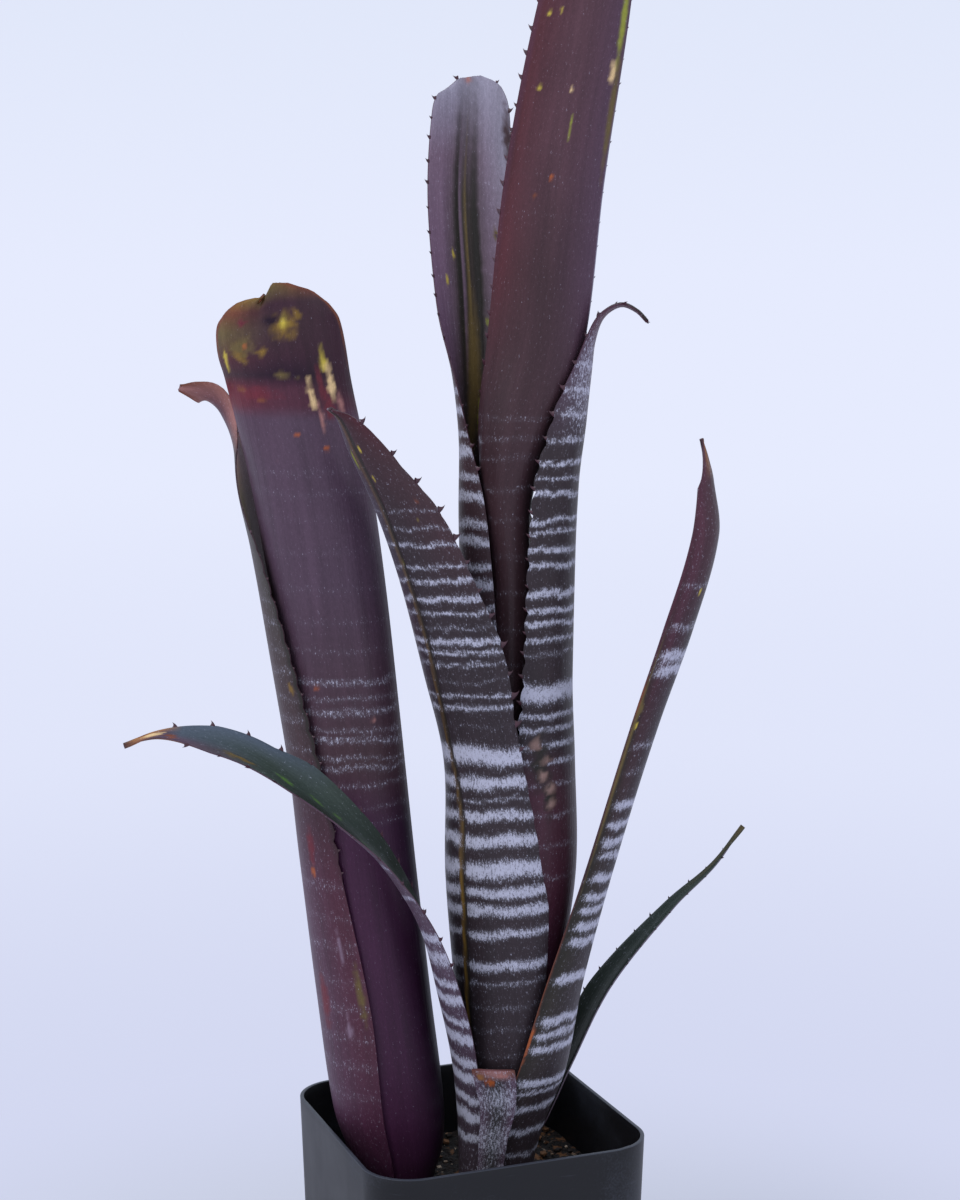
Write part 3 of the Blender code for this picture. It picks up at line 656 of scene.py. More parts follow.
def tint(name, code, description):
    """A colour property whose default is an sRGB colour written as six hex digits."""
    shares = [int(code[i:i + 2], 16) / 255 for i in (0, 2, 4)]
    linear = [s / 12.92 if s <= 0.04045 else ((s + 0.055) / 1.055) ** 2.4 for s in shares]
    return FloatVectorProperty(
        name=name, description=description, default=linear, subtype="COLOR", min=0, max=1
    )


def length(name, millimetres, description):
    return FloatProperty(
        name=name, description=description, default=millimetres * MM, unit="LENGTH", subtype="DISTANCE"
    )


class LeafColours(PropertyGroup):
    charcoal: tint("Charcoal", "31272b", "Bare skin between the white bands")
    umber: tint("Umber", "402b30", "Dark brown skin")
    maroon: tint("Maroon", "4f242b", "Reddish skin of the tall leaf")
    mauve_brown: tint("Mauve brown", "543840", "Middle of the tall leaf")
    plum_grey: tint("Plum grey", "523a4b", "Shaded side of the tall leaf")
    mauve: tint("Mauve", "6f5569", "Purple side of a powdery inner face")
    slate: tint("Slate", "503d4c", "Grey skin of the pup")
    slate_dark: tint("Dark slate", "3a343c", "Skin beside the front leaf's crease")
    bronze: tint("Bronze", "3b332f", "Inner face, low down")
    # Dark bronze also serves as painted shade: in the back left leaf's channel and in the dark gaps along
    # some margins.
    bronze_dark: tint("Dark bronze", "28241f", "Channel of the back left leaf")
    purple: tint("Purple", "42203a", "Leaf bases")
    violet: tint("Violet", "1e081e", "Shaded leaf bases")
    wine: tint("Wine", "4d2735", "Purple red margins")
    wine_dark: tint("Dark wine", "3a1f2b", "Dark red bands")
    crimson: tint("Crimson", "662430", "Sunburnt red")
    olive: tint("Olive", "675632", "Yellow brown skin")
    # Dark olive is an olive brown darkened with painted shade.
    olive_dark: tint("Dark olive", "2e2a1f", "Dark strip along a margin")
    moss: tint("Moss", "38433c", "Green inner face")
    moss_dark: tint("Dark moss", "20271f", "Shaded green inner face")
    steel: tint("Steel", "4b5561", "Blue grey inner face")
    leaf_green: tint("Leaf green", "4f6f35", "Green patches")
    lime: tint("Lime", "8d8f35", "Lime streaks")
    yellow: tint("Yellow", "c4ae42", "Yellow spots")
    ochre: tint("Ochre", "7c5f28", "Bleached patches")
    cream: tint("Cream", "e2c08c", "Cream spots")
    orange: tint("Orange", "a8572c", "Orange spots")
    rust: tint("Rust", "74402c", "Rusty edges")
    tan: tint("Tan", "a06f45", "Dry tips")
    blush: tint("Blush", "a8746e", "Pink patches")
    scab: tint("Scab", "8c7068", "Healed damage")
    ash_plum: tint("Ash plum", "786272", "Powdery inner face")
    lilac_ash: tint("Lilac ash", "9690a0", "Powdery leaf tips")
    scale_white: tint("Scales", "cdcddf", "White scales of the bands")
    margin: tint("Margin", "4a2a38", "Thin edge of a leaf")
    spine: tint("Spine", "34161f", "Spines on the margins")


class LeafSettings(PropertyGroup):
    row_spacing: length("Row spacing", 1.0, "Distance between rows of faces along a leaf")
    columns: IntProperty(name="Columns", description="Faces across a leaf", default=56, min=8)
    margin_share: FloatProperty(
        name="Margin thickness", description="A margin's thickness as a share of the leaf's",
        default=0.4, min=0.1, max=1, subtype="FACTOR",
    )
    waviness: length("Waviness", 0.3, "How far the free blades wander from a smooth sweep")


class PotSettings(PropertyGroup):
    lip: length("Lip radius", 0.35, "Rounding of the rim's edges")
    drain_radius: length("Drain radius", 4, "Radius of the four drain holes")
    drain_offset: length("Drain offset", 25, "Distance of the drain holes from the middle")
    plastic: tint("Plastic", "0e0e12", "The pot's plastic")
    # The lip colour is a painted highlight: the pale line of light along the rim.
    lip_highlight: tint("Lip highlight", "33363f", "The plastic along the rim, painted pale as a highlight")
    dust: tint("Dust", "5d6270", "Dust and scuffs on the plastic")


class MixSettings(PropertyGroup):
    lump_height: length("Lump height", 1.1, "Unevenness of the mix")
    crumbs: IntProperty(name="Crumbs", description="Loose bits on the mix", default=260, min=0)
    crumb_size: length("Crumb size", 3.2, "Length of the largest crumb")
    bark: tint("Bark", "7a5230", "Fresh bark")
    bark_dark: tint("Dark bark", "2a1d14", "Wet bark")
    grit: tint("Grit", "b9a48c", "Pale scraps")
    mould: tint("Mould", "17120e", "Fine dark mix between the bark")


class StageSettings(PropertyGroup):
    floor_radius: length("Floor radius", 6000, "Radius of the floor")
    camera_side: length("Camera side", 3.7, "The camera's place across its own line of sight")
    camera_distance: length("Camera distance", 689.4, "The camera's distance in front of the pot")
    camera_height: length("Camera height", 355.2, "The camera's height over the floor")
    camera_tilt: FloatProperty(
        name="Camera tilt", description="How far the camera looks down",
        default=math.radians(8.09), subtype="ANGLE",
    )
    lens: FloatProperty(
        name="Lens", description="Focal length", default=69, min=1, subtype="DISTANCE_CAMERA"
    )
    pad: tint("Matt floor", "d6d6dc", "The floor right under the pot, which takes its shadow")
    near: tint("Near floor", "d2d7f0", "The floor round the pot")
    middle: tint("Floor", "e0e5fa", "The floor further off")
    far: tint("Horizon", "e6ebfe", "The floor's far edge and the sky over it")
    sky: tint("Sky", "d9e2f3", "The sky overhead")


class BromeliadSettings(PropertyGroup):
    colours: PointerProperty(type=LeafColours)
    leaves: PointerProperty(type=LeafSettings)
    pot: PointerProperty(type=PotSettings)
    mix: PointerProperty(type=MixSettings)
    stage: PointerProperty(type=StageSettings)


def settings():
    return bpy.context.scene.bromeliad


class Wire:
    """A shader socket that takes part in arithmetic, which adds the Math nodes it needs."""

    def __init__(self, graph, socket):
        self.graph = graph
        self.socket = socket

    def worked(self, operation, first, second):
        node = self.graph.node("ShaderNodeMath", {"operation": operation}, {0: first, 1: second})
        return Wire(self.graph, node.outputs[0])

    def __add__(self, other):
        return self.worked("ADD", self, other)

    def __radd__(self, other):
        return self.worked("ADD", other, self)

    def __sub__(self, other):
        return self.worked("SUBTRACT", self, other)

    def __rsub__(self, other):
        return self.worked("SUBTRACT", other, self)

    def __mul__(self, other):
        return self.worked("MULTIPLY", self, other)

    def __rmul__(self, other):
        return self.worked("MULTIPLY", other, self)

    def eased(self, low, high):
        """0 below `low`, 1 above `high`, and a smooth step between them."""
        sockets = {"Value": self, "From Min": low, "From Max": high}
        node = self.graph.node("ShaderNodeMapRange", {"interpolation_type": "SMOOTHSTEP"}, sockets)
        return Wire(self.graph, node.outputs[0])


class Graph:
    """A new material's nodes."""

    def __init__(self, name):
        self.material = bpy.data.materials.new(name)
        self.material.use_nodes = True
        self.tree = self.material.node_tree
        self.shader = self.tree.nodes["Principled BSDF"]

    def node(self, kind, options=None, sockets=None):
        """A node of this kind, its options set first, then its sockets given values or links."""
        node = self.tree.nodes.new(kind)
        for option, value in (options or {}).items():
            setattr(node, option, value)
        for key, value in (sockets or {}).items():
            self.feed(node.inputs[key], value)
        return node

    def feed(self, socket, value):
        if isinstance(value, Wire):
            self.tree.links.new(value.socket, socket)
        else:
            if socket.type == "RGBA" and len(value) == 3:
                value = (*value, 1)
            socket.default_value = value

    def attribute(self, name, output):
        return Wire(self, self.node("ShaderNodeAttribute", {"attribute_name": name}).outputs[output])

    def place(self):
        return Wire(self, self.node("ShaderNodeTexCoord").outputs["Object"])

    def scaled(self, vector, scale):
        node = self.node("ShaderNodeVectorMath", {"operation": "MULTIPLY"}, {0: vector, 1: scale})
        return Wire(self, node.outputs[0])

    def grain(self, vector, scale, detail=2.0):
        sockets = {"Vector": vector, "Scale": scale, "Detail": detail}
        return Wire(self, self.node("ShaderNodeTexNoise", None, sockets).outputs[0])

    def cells(self, vector, scale):
        sockets = {"Vector": vector, "Scale": scale}
        return Wire(self, self.node("ShaderNodeTexVoronoi", None, sockets).outputs[0])

    def mixed(self, first, second, share):
        """The first colour, with a share of the second mixed in."""
        options = {"data_type": "RGBA"}
        return Wire(self, self.node("ShaderNodeMix", options, {0: share, 6: first, 7: second}).outputs[2])

    def shaded(self, colour, amount):
        """The colour, made darker or lighter by a plain factor."""
        node = self.node("ShaderNodeVectorMath", {"operation": "SCALE"}, {0: colour, "Scale": amount})
        return Wire(self, node.outputs[0])

    def bumped(self, height, distance, strength=1.0):
        sockets = {"Height": height, "Distance": distance, "Strength": strength}
        return Wire(self, self.node("ShaderNodeBump", None, sockets).outputs[0])

    def finish(self, **sockets):
        for name, value in sockets.items():
            self.feed(self.shader.inputs[name.replace("_", " ")], value)
        return self.material


def leaf_skin(name, colour_name, scales_name):
    """Skin with fine fibres along the leaf, strewn with white scales where the bands are."""
    graph = Graph(name)
    lay = graph.attribute("lay", "Vector")
    ground = graph.attribute(colour_name, "Color")
    scales = graph.attribute(scales_name, "Fac")
    fibre = graph.grain(graph.scaled(lay, (1700, 620, 2000)), 1.0, 2.0)
    fine = graph.grain(graph.scaled(lay, (4600, 1900, 2000)), 1.0, 1.0)
    cloud = graph.grain(graph.scaled(lay, (160, 45, 1000)), 1.0, 3.0)
    streak = graph.grain(graph.scaled(lay, (420, 14, 1000)), 1.0, 2.0)
    bare = graph.shaded(ground, 0.08 + 0.42 * cloud + 0.54 * streak + 0.45 * fibre + 0.42 * fine)
    cover = scales + 0.5 * (cloud - 0.5) * scales
    speck = 0.55 * fibre + 0.45 * fine
    mask = (speck + 0.27 * cover).eased(0.62, 0.86)
    haze = (0.2 * scales).eased(0.0, 0.4)
    colour = graph.mixed(bare, settings().colours.scale_white, 0.76 * mask + 0.2 * haze * (1 - mask))
    veins = graph.grain(graph.scaled(lay, (1300, 9, 1000)), 1.0, 1.0)
    normal = graph.bumped(0.6 * veins + 0.25 * fibre + 0.35 * mask, 0.00022, 0.7)
    return graph.finish(
        Base_Color=colour,
        Roughness=0.38 + 0.14 * cloud + 0.26 * mask,
        Specular_IOR_Level=0.24,
        Normal=normal,
    )


def margin_skin():
    graph = Graph("leaf_margin")
    lay = graph.attribute("lay", "Vector")
    ground = graph.attribute("ground", "Color")
    mottle = graph.grain(graph.scaled(lay, (300, 160, 1000)), 1.0, 2.0)
    colour = graph.mixed(graph.shaded(ground, 0.7 + 0.5 * mottle), settings().colours.margin, 0.55)
    return graph.finish(Base_Color=colour, Roughness=0.35 + 0.2 * mottle, Specular_IOR_Level=0.4)


def spine_horn():
    graph = Graph("spine_horn")
    grain = graph.grain(graph.place(), 900, 1.0)
    horn = graph.mixed(settings().colours.spine, settings().colours.wine, grain)
    colour = graph.shaded(horn, 0.7 + 0.5 * grain)
    return graph.finish(Base_Color=colour, Roughness=0.3 + 0.2 * grain)


def pot_plastic(name, plastic):
    """Smooth plastic with faint moulding ripple, dust and fine scuffs: black for the pot, and pale for
    the rim's painted highlight.
    """
    graph = Graph(name)
    pot = settings().pot
    place = graph.place()
    ripple = graph.grain(graph.scaled(place, (1, 1, 0.25)), 60, 2.0)
    haze = graph.grain(place, 28, 4.0)
    specks = graph.grain(place, 1500, 2.0)
    scuffs = graph.grain(graph.scaled(place, (1, 1, 9)), 90, 3.0)
    dust = (haze + 0.35 * specks).eased(0.66, 0.95) * 0.22 + scuffs.eased(0.64, 0.72) * 0.1
    colour = graph.mixed(plastic, pot.dust, dust)
    normal = graph.bumped(ripple + 0.06 * specks, 0.0006, 0.5)
    return graph.finish(
        Base_Color=colour, Roughness=0.3 + 0.3 * haze + 0.2 * dust, Specular_IOR_Level=0.36, Normal=normal
    )


def mix_earth():
    """Dark, crumbly fines with small bright bits of bark and pale grains of grit."""
    graph = Graph("mix_earth")
    mix = settings().mix
    place = graph.place()
    lumps = graph.grain(place, 420, 5.0)
    grains = graph.cells(place, 700)
    bits = graph.cells(place, 330)
    dark = graph.mixed(mix.mould, mix.bark_dark, lumps.eased(0.4, 0.65))
    brown = graph.mixed(dark, mix.bark, bits.eased(0.62, 0.8) * lumps.eased(0.45, 0.6))
    colour = graph.mixed(brown, mix.grit, grains.eased(0.84, 0.95) * 0.7)
    normal = graph.bumped(lumps - 0.5 * grains, 0.0016)
    return graph.finish(Base_Color=colour, Roughness=0.75 + 0.2 * lumps, Normal=normal)


def bark_grain(name, light, dark):
    """Bark in thin layers, paler where it has split."""
    graph = Graph(name)
    place = graph.place()
    layers = graph.grain(graph.scaled(place, (260, 260, 2600)), 1.0, 3.0)
    patches = graph.grain(place, 160, 3.0)
    pores = graph.grain(place, 1400, 2.0)
    colour = graph.mixed(dark, light, (0.6 * layers + 0.4 * patches).eased(0.36, 0.62))
    normal = graph.bumped(layers + 0.4 * pores, 0.0007)
    return graph.finish(
        Base_Color=graph.shaded(colour, 0.7 + 0.6 * pores), Roughness=0.7 + 0.25 * pores, Normal=normal
    )


def rootstock_skin():
    graph = Graph("rootstock_skin")
    mix = settings().mix
    place = graph.place()
    rings = graph.grain(graph.scaled(place, (120, 120, 1400)), 1.0, 3.0)
    spots = graph.grain(place, 500, 2.0)
    colour = graph.mixed(mix.bark_dark, mix.bark, (0.7 * rings + 0.3 * spots).eased(0.4, 0.62))
    normal = graph.bumped(rings, 0.0006)
    return graph.finish(Base_Color=colour, Roughness=0.6 + 0.3 * spots, Normal=normal)


def deselect_all():
    if bpy.context.object and bpy.context.object.mode != "OBJECT":
        bpy.ops.object.mode_set(mode="OBJECT")
    bpy.ops.object.select_all(action="DESELECT")


def take(piece):
    """Make the piece the one selected and active object."""
    deselect_all()
    piece.select_set(True)
    bpy.context.view_layer.objects.active = piece


def new_piece(name):
    """Name the primitive just added."""
    piece = bpy.context.object
    piece.name = name
    piece.data.name = name
    return piece


def apply_modifier(piece, name, kind, **options):
    take(piece)
    modifier = piece.modifiers.new(name, kind)
    for option, value in options.items():
        setattr(modifier, option, value)
    bpy.ops.object.modifier_apply(modifier=modifier.name)


def settle(piece, smooth_angle=40):
    """Put the piece's place, turn and size into its mesh, and smooth its shading."""
    take(piece)
    bpy.ops.object.transform_apply(location=True, rotation=True, scale=True)
    bpy.ops.object.shade_smooth_by_angle(angle=math.radians(smooth_angle))


def stand_for(piece, *nodes):
    """The piece rides on the root and hides the nodes that it replaces."""
    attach(piece, "root")
    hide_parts(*nodes)


def shape_by(piece, move):
    """Move every vertex of the piece to where `move` puts it."""
    mesh = piece.data
    for vertex in mesh.vertices:
        vertex.co = move(vertex.co)
    mesh.update()


def ring_radius(leaf):
    """Outer radius of the leaf's foot on its stem."""
    return leaf.shoot.stem_radius + RING_STEP * leaf.ring


def outward(facing):
    angle = math.radians(facing)
    return Vector((math.sin(angle), -math.cos(angle), 0))


def midrib_stations(leaf):
    """The leaf's foot and stations, each placed by its midrib and sized by its width."""
    foot_centre = Vector((*leaf.shoot.axis, LEAF_FOOT))
    foot = Station(foot_centre, 0, leaf.facing, leaf.span, 0, 1)
    for station in (foot, *leaf.stations):
        if station.level:
            radius = ring_radius(leaf) + station.size
            place = station.place + radius * outward(station.facing)
            yield station._replace(place=place, size=radius * math.radians(station.span))
        else:
            yield station


def hermite(knots, values, at):
    """Smooth curve through values at their knots, with slopes from the neighbours either side."""
    last = len(knots) - 1
    i = max(k for k in range(last) if knots[k] <= at)
    reach = knots[i + 1] - knots[i]

    def slope(k):
        before, after = max(k - 1, 0), min(k + 1, last)
        return (values[after] - values[before]) / (knots[after] - knots[before])

    t = (at - knots[i]) / reach
    rise = t * t * (3 - 2 * t)
    leave = t * (1 - t) ** 2 * reach
    arrive = t * t * (t - 1) * reach
    return values[i] * (1 - rise) + values[i + 1] * rise + slope(i) * leave + slope(i + 1) * arrive


# One row of a leaf: its distance along and to the tip, the centre that it bends round, the
# directions out of the leaf, across it and along it, its bend radius and half its bend.
Row = namedtuple("Row", "along left centre out across tangent radius half_bend")


def leaf_rows(leaf, spacing):
    """Rows at an even spacing from the leaf's foot to its tip."""
    stations = list(midrib_stations(leaf))
    knots = [0.0]
    for here, there in zip(stations, stations[1:]):
        knots.append(knots[-1] + (there.place - here.place).length)
    places = [station.place for station in stations]
    fields = {
        field: [getattr(station, field) for station in stations]
        for field in ("size", "facing", "span", "roll", "level")
    }
    end = knots[-1]
    count = math.ceil(end / spacing)
    for i in range(count + 1):
        at = min(end * i / count, end)
        place = hermite(knots, places, at)
        before = hermite(knots, places, max(at - spacing / 8, 0))
        after = hermite(knots, places, min(at + spacing / 8, end))
        width, facing, span, roll, level = (hermite(knots, values, at) for values in fields.values())
        tangent = (after - before).normalized().lerp(Vector((0, 0, 1)), level).normalized()
        radius = max(width / math.radians(span), SMALLEST_BEND)
        angle = math.radians(facing)
        across = Vector((math.cos(angle), math.sin(angle), 0))
        across = (across - tangent * across.dot(tangent)).normalized()
        across.rotate(Matrix.Rotation(math.radians(roll), 3, tangent))
        out = across.cross(tangent)
        yield Row(at, end - at, place - out * radius, out, across, tangent, radius, width / radius / 2)


def scallop(style, share, along):
    """How far the margin bulges at a distance along, in metres: lobes that pinch in at each spine."""
    for margin, first, last, spacing, depth, bulge in style.scallops:
        if margin * share > 0 and first < along < last:
            phase = (along - first) / spacing % 1
            fade = min(1, (along - first) / 12, (last - along) / 12)
            lobe = abs(math.sin(math.pi * phase)) ** 0.7 - 0.6
            return MM * fade * (depth * lobe + bulge)
    return 0


def row_point(row, style, share, lift=0.0):
    """The point of a row at a share of its half width, lifted off the outer face."""
    edge = scallop(style, share, row.along / MM) / row.radius
    drawn = min(1, row.left / MM / style.tip) ** 0.75 if style.tip else 1
    bend = share * (row.half_bend + edge) * max(drawn, 0.08)
    spoke = row.out * math.cos(bend) + row.across * math.sin(bend)
    return row.centre + spoke * (row.radius + lift)


def tip_drop(name, along, share):
    """How far a point near the pup's cut-off tip drops: the left shoulder, and a notch beside it."""
    if name != "pup_front_leaf" or along < SHOULDER_FROM:
        return 0
    near = ((along - SHOULDER_FROM) / SHOULDER_REACH) ** 1.5
    shoulder = min(1, max(0, (0.1 - share) / 0.6))
    notch = max(0, 1 - abs(share - NOTCH_SHARE) / 0.14)
    return (SHOULDER_DROP * shoulder + NOTCH_DROP * notch) * near


def crease_share(along):
    return float(np.interp(along, *zip(*CREASE)))


def leaf_lift(name, row, share, waviness):
    """How far the outer face stands off the smooth sweep: gentle waves, the crease and scabs."""
    along = row.along / MM
    free = min(1, max(0, (along - 60) / 160)) * (1 - abs(share)) ** 0.3
    seed = len(name)
    wave = noise.noise(Vector((share * 1.6, along * 0.028, seed))) * waviness * free
    ridge = noise.noise(Vector((share * 9, along * 0.02, seed + 7))) * waviness * 0.25 * free
    lift = wave + ridge
    if name == "pup_front_leaf":
        notch = max(0, 1 - abs(share - NOTCH_SHARE) / 0.12) * max(0, (along - 274) / 18)
        lift -= NOTCH_DENT * notch
    if name == "front_leaf":
        away = abs(share - crease_share(along)) * row.half_bend * row.radius
        lift -= CREASE_DEPTH * max(0, 1 - away / CREASE_HALF_WIDTH)
    for colour, place, side, half_width, half_length in LOOKS[name].spots:
        if colour == "scab":
            across = (share - side) * row.half_bend * row.radius / MM
            near = 1 - math.hypot(across / half_width, (along - place) / half_length)
            lift += SCAB_HEIGHT * max(0, near)
    return lift


def colour_of(name):
    return np.array(getattr(settings().colours, name))


def painted(stops, along, share):
    """Colours from stops along the leaf, each with a left, a middle and a right one."""
    at = [stop[0] for stop in stops]
    sides = []
    for side in (1, 2, 3):
        values = np.array([colour_of(stop[side]) for stop in stops])
        sides.append(np.stack([np.interp(along, at, values[:, k]) for k in range(3)], -1))
    left, middle, right = sides
    lean = np.clip(np.abs(share) * 1.2, 0, 1)[..., None] ** 1.5
    side = np.where((share < 0)[..., None], left, right)
    return middle * (1 - lean) + side * lean


def add_spots(colours, spots, along, across_at, share, keep):
    """Blend the spots into the colours and clear the scales off them; gives the scurf's scales."""
    ragged = 0.7 * wandering(share * 5, along * 0.35, 5) + 0.4 * wandering(share * 14, along * 0.9, 8)
    scurf = np.zeros_like(keep)
    for colour, place, side, half_width, half_length in spots:
        across = (share - side) * across_at
        calm = min(1, 6 / half_length)
        reach = np.hypot(across / half_width, (along - place) / half_length) + ragged * calm
        mask = np.clip((1.2 - reach) / 0.75, 0, 1)
        if colour == "scurf":
            scurf = np.maximum(scurf, mask)
            continue
        colours[:] = colours * (1 - mask[..., None]) + colour_of(colour) * mask[..., None]
        keep *= 1 - 0.8 * mask
    return 0.55 * scurf


def wandering(across, along, seed):
    """Smooth noise over a leaf, between -1 and 1."""
    return np.array([
        [noise.noise(Vector((x, y, seed))) for x, y in zip(*rows)] for rows in zip(across, along)
    ])


def band_strength(style, along, share, across_at):
    """Strength of the white bands, which wander a little as they cross the leaf."""
    wander = wandering(share * 2.2, along * 0.09, 3) + 0.6 * wandering(share * 8, along * 0.25, 9)
    level = along - style.slant * share * across_at + 1.3 * wander
    strength = np.zeros_like(along)
    for place, half_width, power in style.bands:
        edge = np.clip((half_width * 1.4 - np.abs(level - place)) / (half_width * 1.1), 0, 1)
        strength = np.maximum(strength, power * edge)
    return strength


def store(mesh, name, kind, values):
    key = {"FLOAT": "value", "FLOAT_VECTOR": "vector", "FLOAT_COLOR": "color"}[kind]
    attribute = mesh.attributes.new(name, kind, "POINT")
    attribute.data.foreach_set(key, np.ascontiguousarray(values, np.float32).ravel())


def paint_leaf(piece, name, rows, shares):
    """Store the leaf's colours, its scales and its own coordinates on its vertices."""
    style = LOOKS[name]
    along = np.array([row.along / MM for row in rows])[:, None] * np.ones(len(shares))
    share = np.ones((len(rows), 1)) * np.array(shares)
    across_at = np.array([row.half_bend * row.radius / MM for row in rows])[:, None]
    bands = band_strength(style, along, share, across_at)
    outer_keep = np.ones_like(along)
    inner_keep = np.ones_like(along)
    ground = painted(style.ground, along, share)
    lining = painted(style.lining, along, share)
    scurf = add_spots(ground, style.spots, along, across_at, share, outer_keep)
    inner_scurf = add_spots(lining, style.inner_spots, along, across_at, share, inner_keep)
    if name == "front_leaf":
        paint_crease(ground, along, share, across_at, outer_keep)
    scales = (style.dust[0] + bands + scurf) * outer_keep
    dust = (style.dust[1] + 0.3 * bands + inner_scurf) * inner_keep
    seed = float(len(name)) * 0.01 + style.dust[0] * 0.1
    lay = np.stack([share * across_at * MM, along * MM, np.full_like(along, seed)], -1)
    mesh = piece.data
    store(mesh, "ground", "FLOAT_COLOR", np.concatenate([ground, np.ones((*along.shape, 1))], -1))
    store(mesh, "lining", "FLOAT_COLOR", np.concatenate([lining, np.ones((*along.shape, 1))], -1))
    store(mesh, "scales", "FLOAT", scales)
    store(mesh, "dust", "FLOAT", dust)
    store(mesh, "lay", "FLOAT_VECTOR", lay)


def paint_crease(ground, along, share, across_at, keep):
    """A dark line down the crease with a golden streak on its left."""
    middle = np.interp(along, *zip(*CREASE))
    away = (share - middle) * across_at
    dark = np.clip(1.4 - np.abs(away) / 0.7, 0, 1)
    gold = np.clip(1.5 - np.abs(away + 1.0) / 0.5, 0, 1)
    strong = np.interp(along, (30, 60, 112, 135, 200, 258), (0.5, 0.95, 0.95, 0.5, 0.35, 0.25))
    for mask, colour in ((gold * strong, "ochre"), (dark * 0.85, "bronze_dark")):
        ground[:] = ground * (1 - mask[..., None]) + colour_of(colour) * mask[..., None]
        keep *= 1 - 0.9 * np.clip(mask, 0, 1)


def new_leaf(name, leaf, materials):
    """A grid laid along the leaf's sweep, thickened inwards and thinned to its margins."""
    options = settings().leaves
    rows = list(leaf_rows(leaf, options.row_spacing))
    columns = options.columns
    shares = [2 * i / columns - 1 for i in range(columns + 1)]
    deselect_all()
    bpy.ops.mesh.primitive_grid_add(
        x_subdivisions=columns, y_subdivisions=len(rows) - 1, size=1, enter_editmode=False
    )
    piece = new_piece(f"{name}_grown")
    style = LOOKS[name]
    points = [
        row_point(row, style, share, leaf_lift(name, row, share, options.waviness))
        - row.tangent * tip_drop(name, row.along / MM, share)
        for row in rows
        for share in shares
    ]
    mesh = piece.data
    if len(points) != len(mesh.vertices):
        raise RuntimeError(f"{name}: the grid has {len(mesh.vertices)} vertices, not {len(points)}")
    turned = np.array([PLANT_TURN @ point for point in points], np.float32)
    mesh.vertices.foreach_set("co", turned.ravel())
    paint_leaf(piece, name, rows, shares)
    group = piece.vertex_groups.new(name="thick")
    for i, share in enumerate(shares):
        swell = 1 - (1 - options.margin_share) * abs(share) ** 6
        group.add(range(i, len(points), columns + 1), swell, "REPLACE")
    for material in materials:
        mesh.materials.append(material)
    apply_modifier(
        piece, "thickness", "SOLIDIFY", thickness=LEAF_THICKNESS, offset=-1, use_even_offset=False,
        material_offset=1, material_offset_rim=2, vertex_group="thick", thickness_vertex_group=0,
    )
    return piece, rows


def new_spine(material):
    """One hooked spine about a millimetre long, drawn from a flat six-sided foot and swept forward."""
    deselect_all()
    bpy.ops.mesh.primitive_circle_add(vertices=6, radius=0.5 * MM, fill_type="NGON", enter_editmode=True)
    bpy.ops.mesh.select_all(action="SELECT")
    bpy.ops.transform.resize(value=(0.45, 1.15, 1))
    for reach, forward, shrink in SPINE_STEPS:
        bpy.ops.mesh.extrude_region_move(
            TRANSFORM_OT_translate={"value": (0, forward * MM, reach * MM)}
        )
        bpy.ops.transform.resize(value=(shrink, shrink, shrink))
    bpy.ops.mesh.select_all(action="SELECT")
    bpy.ops.mesh.normals_make_consistent(inside=False)
    bpy.ops.object.mode_set(mode="OBJECT")
    spine = new_piece("spine_master")
    spine.data.materials.append(material)
    return spine


def add_spines(piece, name, rows, spine):
    """Copies of the spine along the leaf's margins, joined to the leaf."""
    style = LOOKS[name]
    rng = random.Random(name)
    distances = np.array([row.along / MM for row in rows])
    copies = []
    for margin, first, last, spacing, size in style.spines:
        at = first
        while at <= last:
            row = rows[int(np.argmin(np.abs(distances - at)))]
            tip = row_point(row, style, margin * 0.995, -0.25 * LEAF_THICKNESS)
            inside = row_point(row, style, margin * 0.95, -0.25 * LEAF_THICKNESS)
            reach = (tip - inside).normalized()
            forward = (row.tangent - reach * row.tangent.dot(reach)).normalized()
            side = forward.cross(reach)
            scale = size * rng.uniform(0.75, 1.2)
            turn = Matrix((side, forward, reach)).transposed().to_4x4()
            place = Matrix.Translation(tip - reach * 0.12 * MM) @ turn @ Matrix.Scale(scale, 4)
            copy = bpy.data.objects.new(f"{name}_spine", spine.data.copy())
            copy.data.transform(PLANT_TURN @ place)
            bpy.context.scene.collection.objects.link(copy)
            copies.append(copy)
            at += spacing * rng.uniform(0.9, 1.12)
    if not copies:
        return
    deselect_all()
    for copy in copies:
        copy.select_set(True)
    piece.select_set(True)
    bpy.context.view_layer.objects.active = piece
    bpy.ops.object.join()


class GrowLeaves(Operator):
    """Grow the twelve leaves along their sweeps, with their bands, spots and spines"""

    bl_idname = "bromeliad.grow_leaves"
    bl_label = "Grow leaves"

    def execute(self, context):
        materials = [
            leaf_skin("leaf_outer_skin", "ground", "scales"),
            leaf_skin("leaf_inner_skin", "lining", "dust"),
            margin_skin(),
            spine_horn(),
        ]
        spine = new_spine(materials[3])
        for name, leaf in LEAVES.items():
            piece, rows = new_leaf(name, leaf, materials)
            add_spines(piece, name, rows, spine)
            settle(piece, 50)
            stand_for(piece, name)
        bpy.data.objects.remove(spine, do_unlink=True)
        return {"FINISHED"}


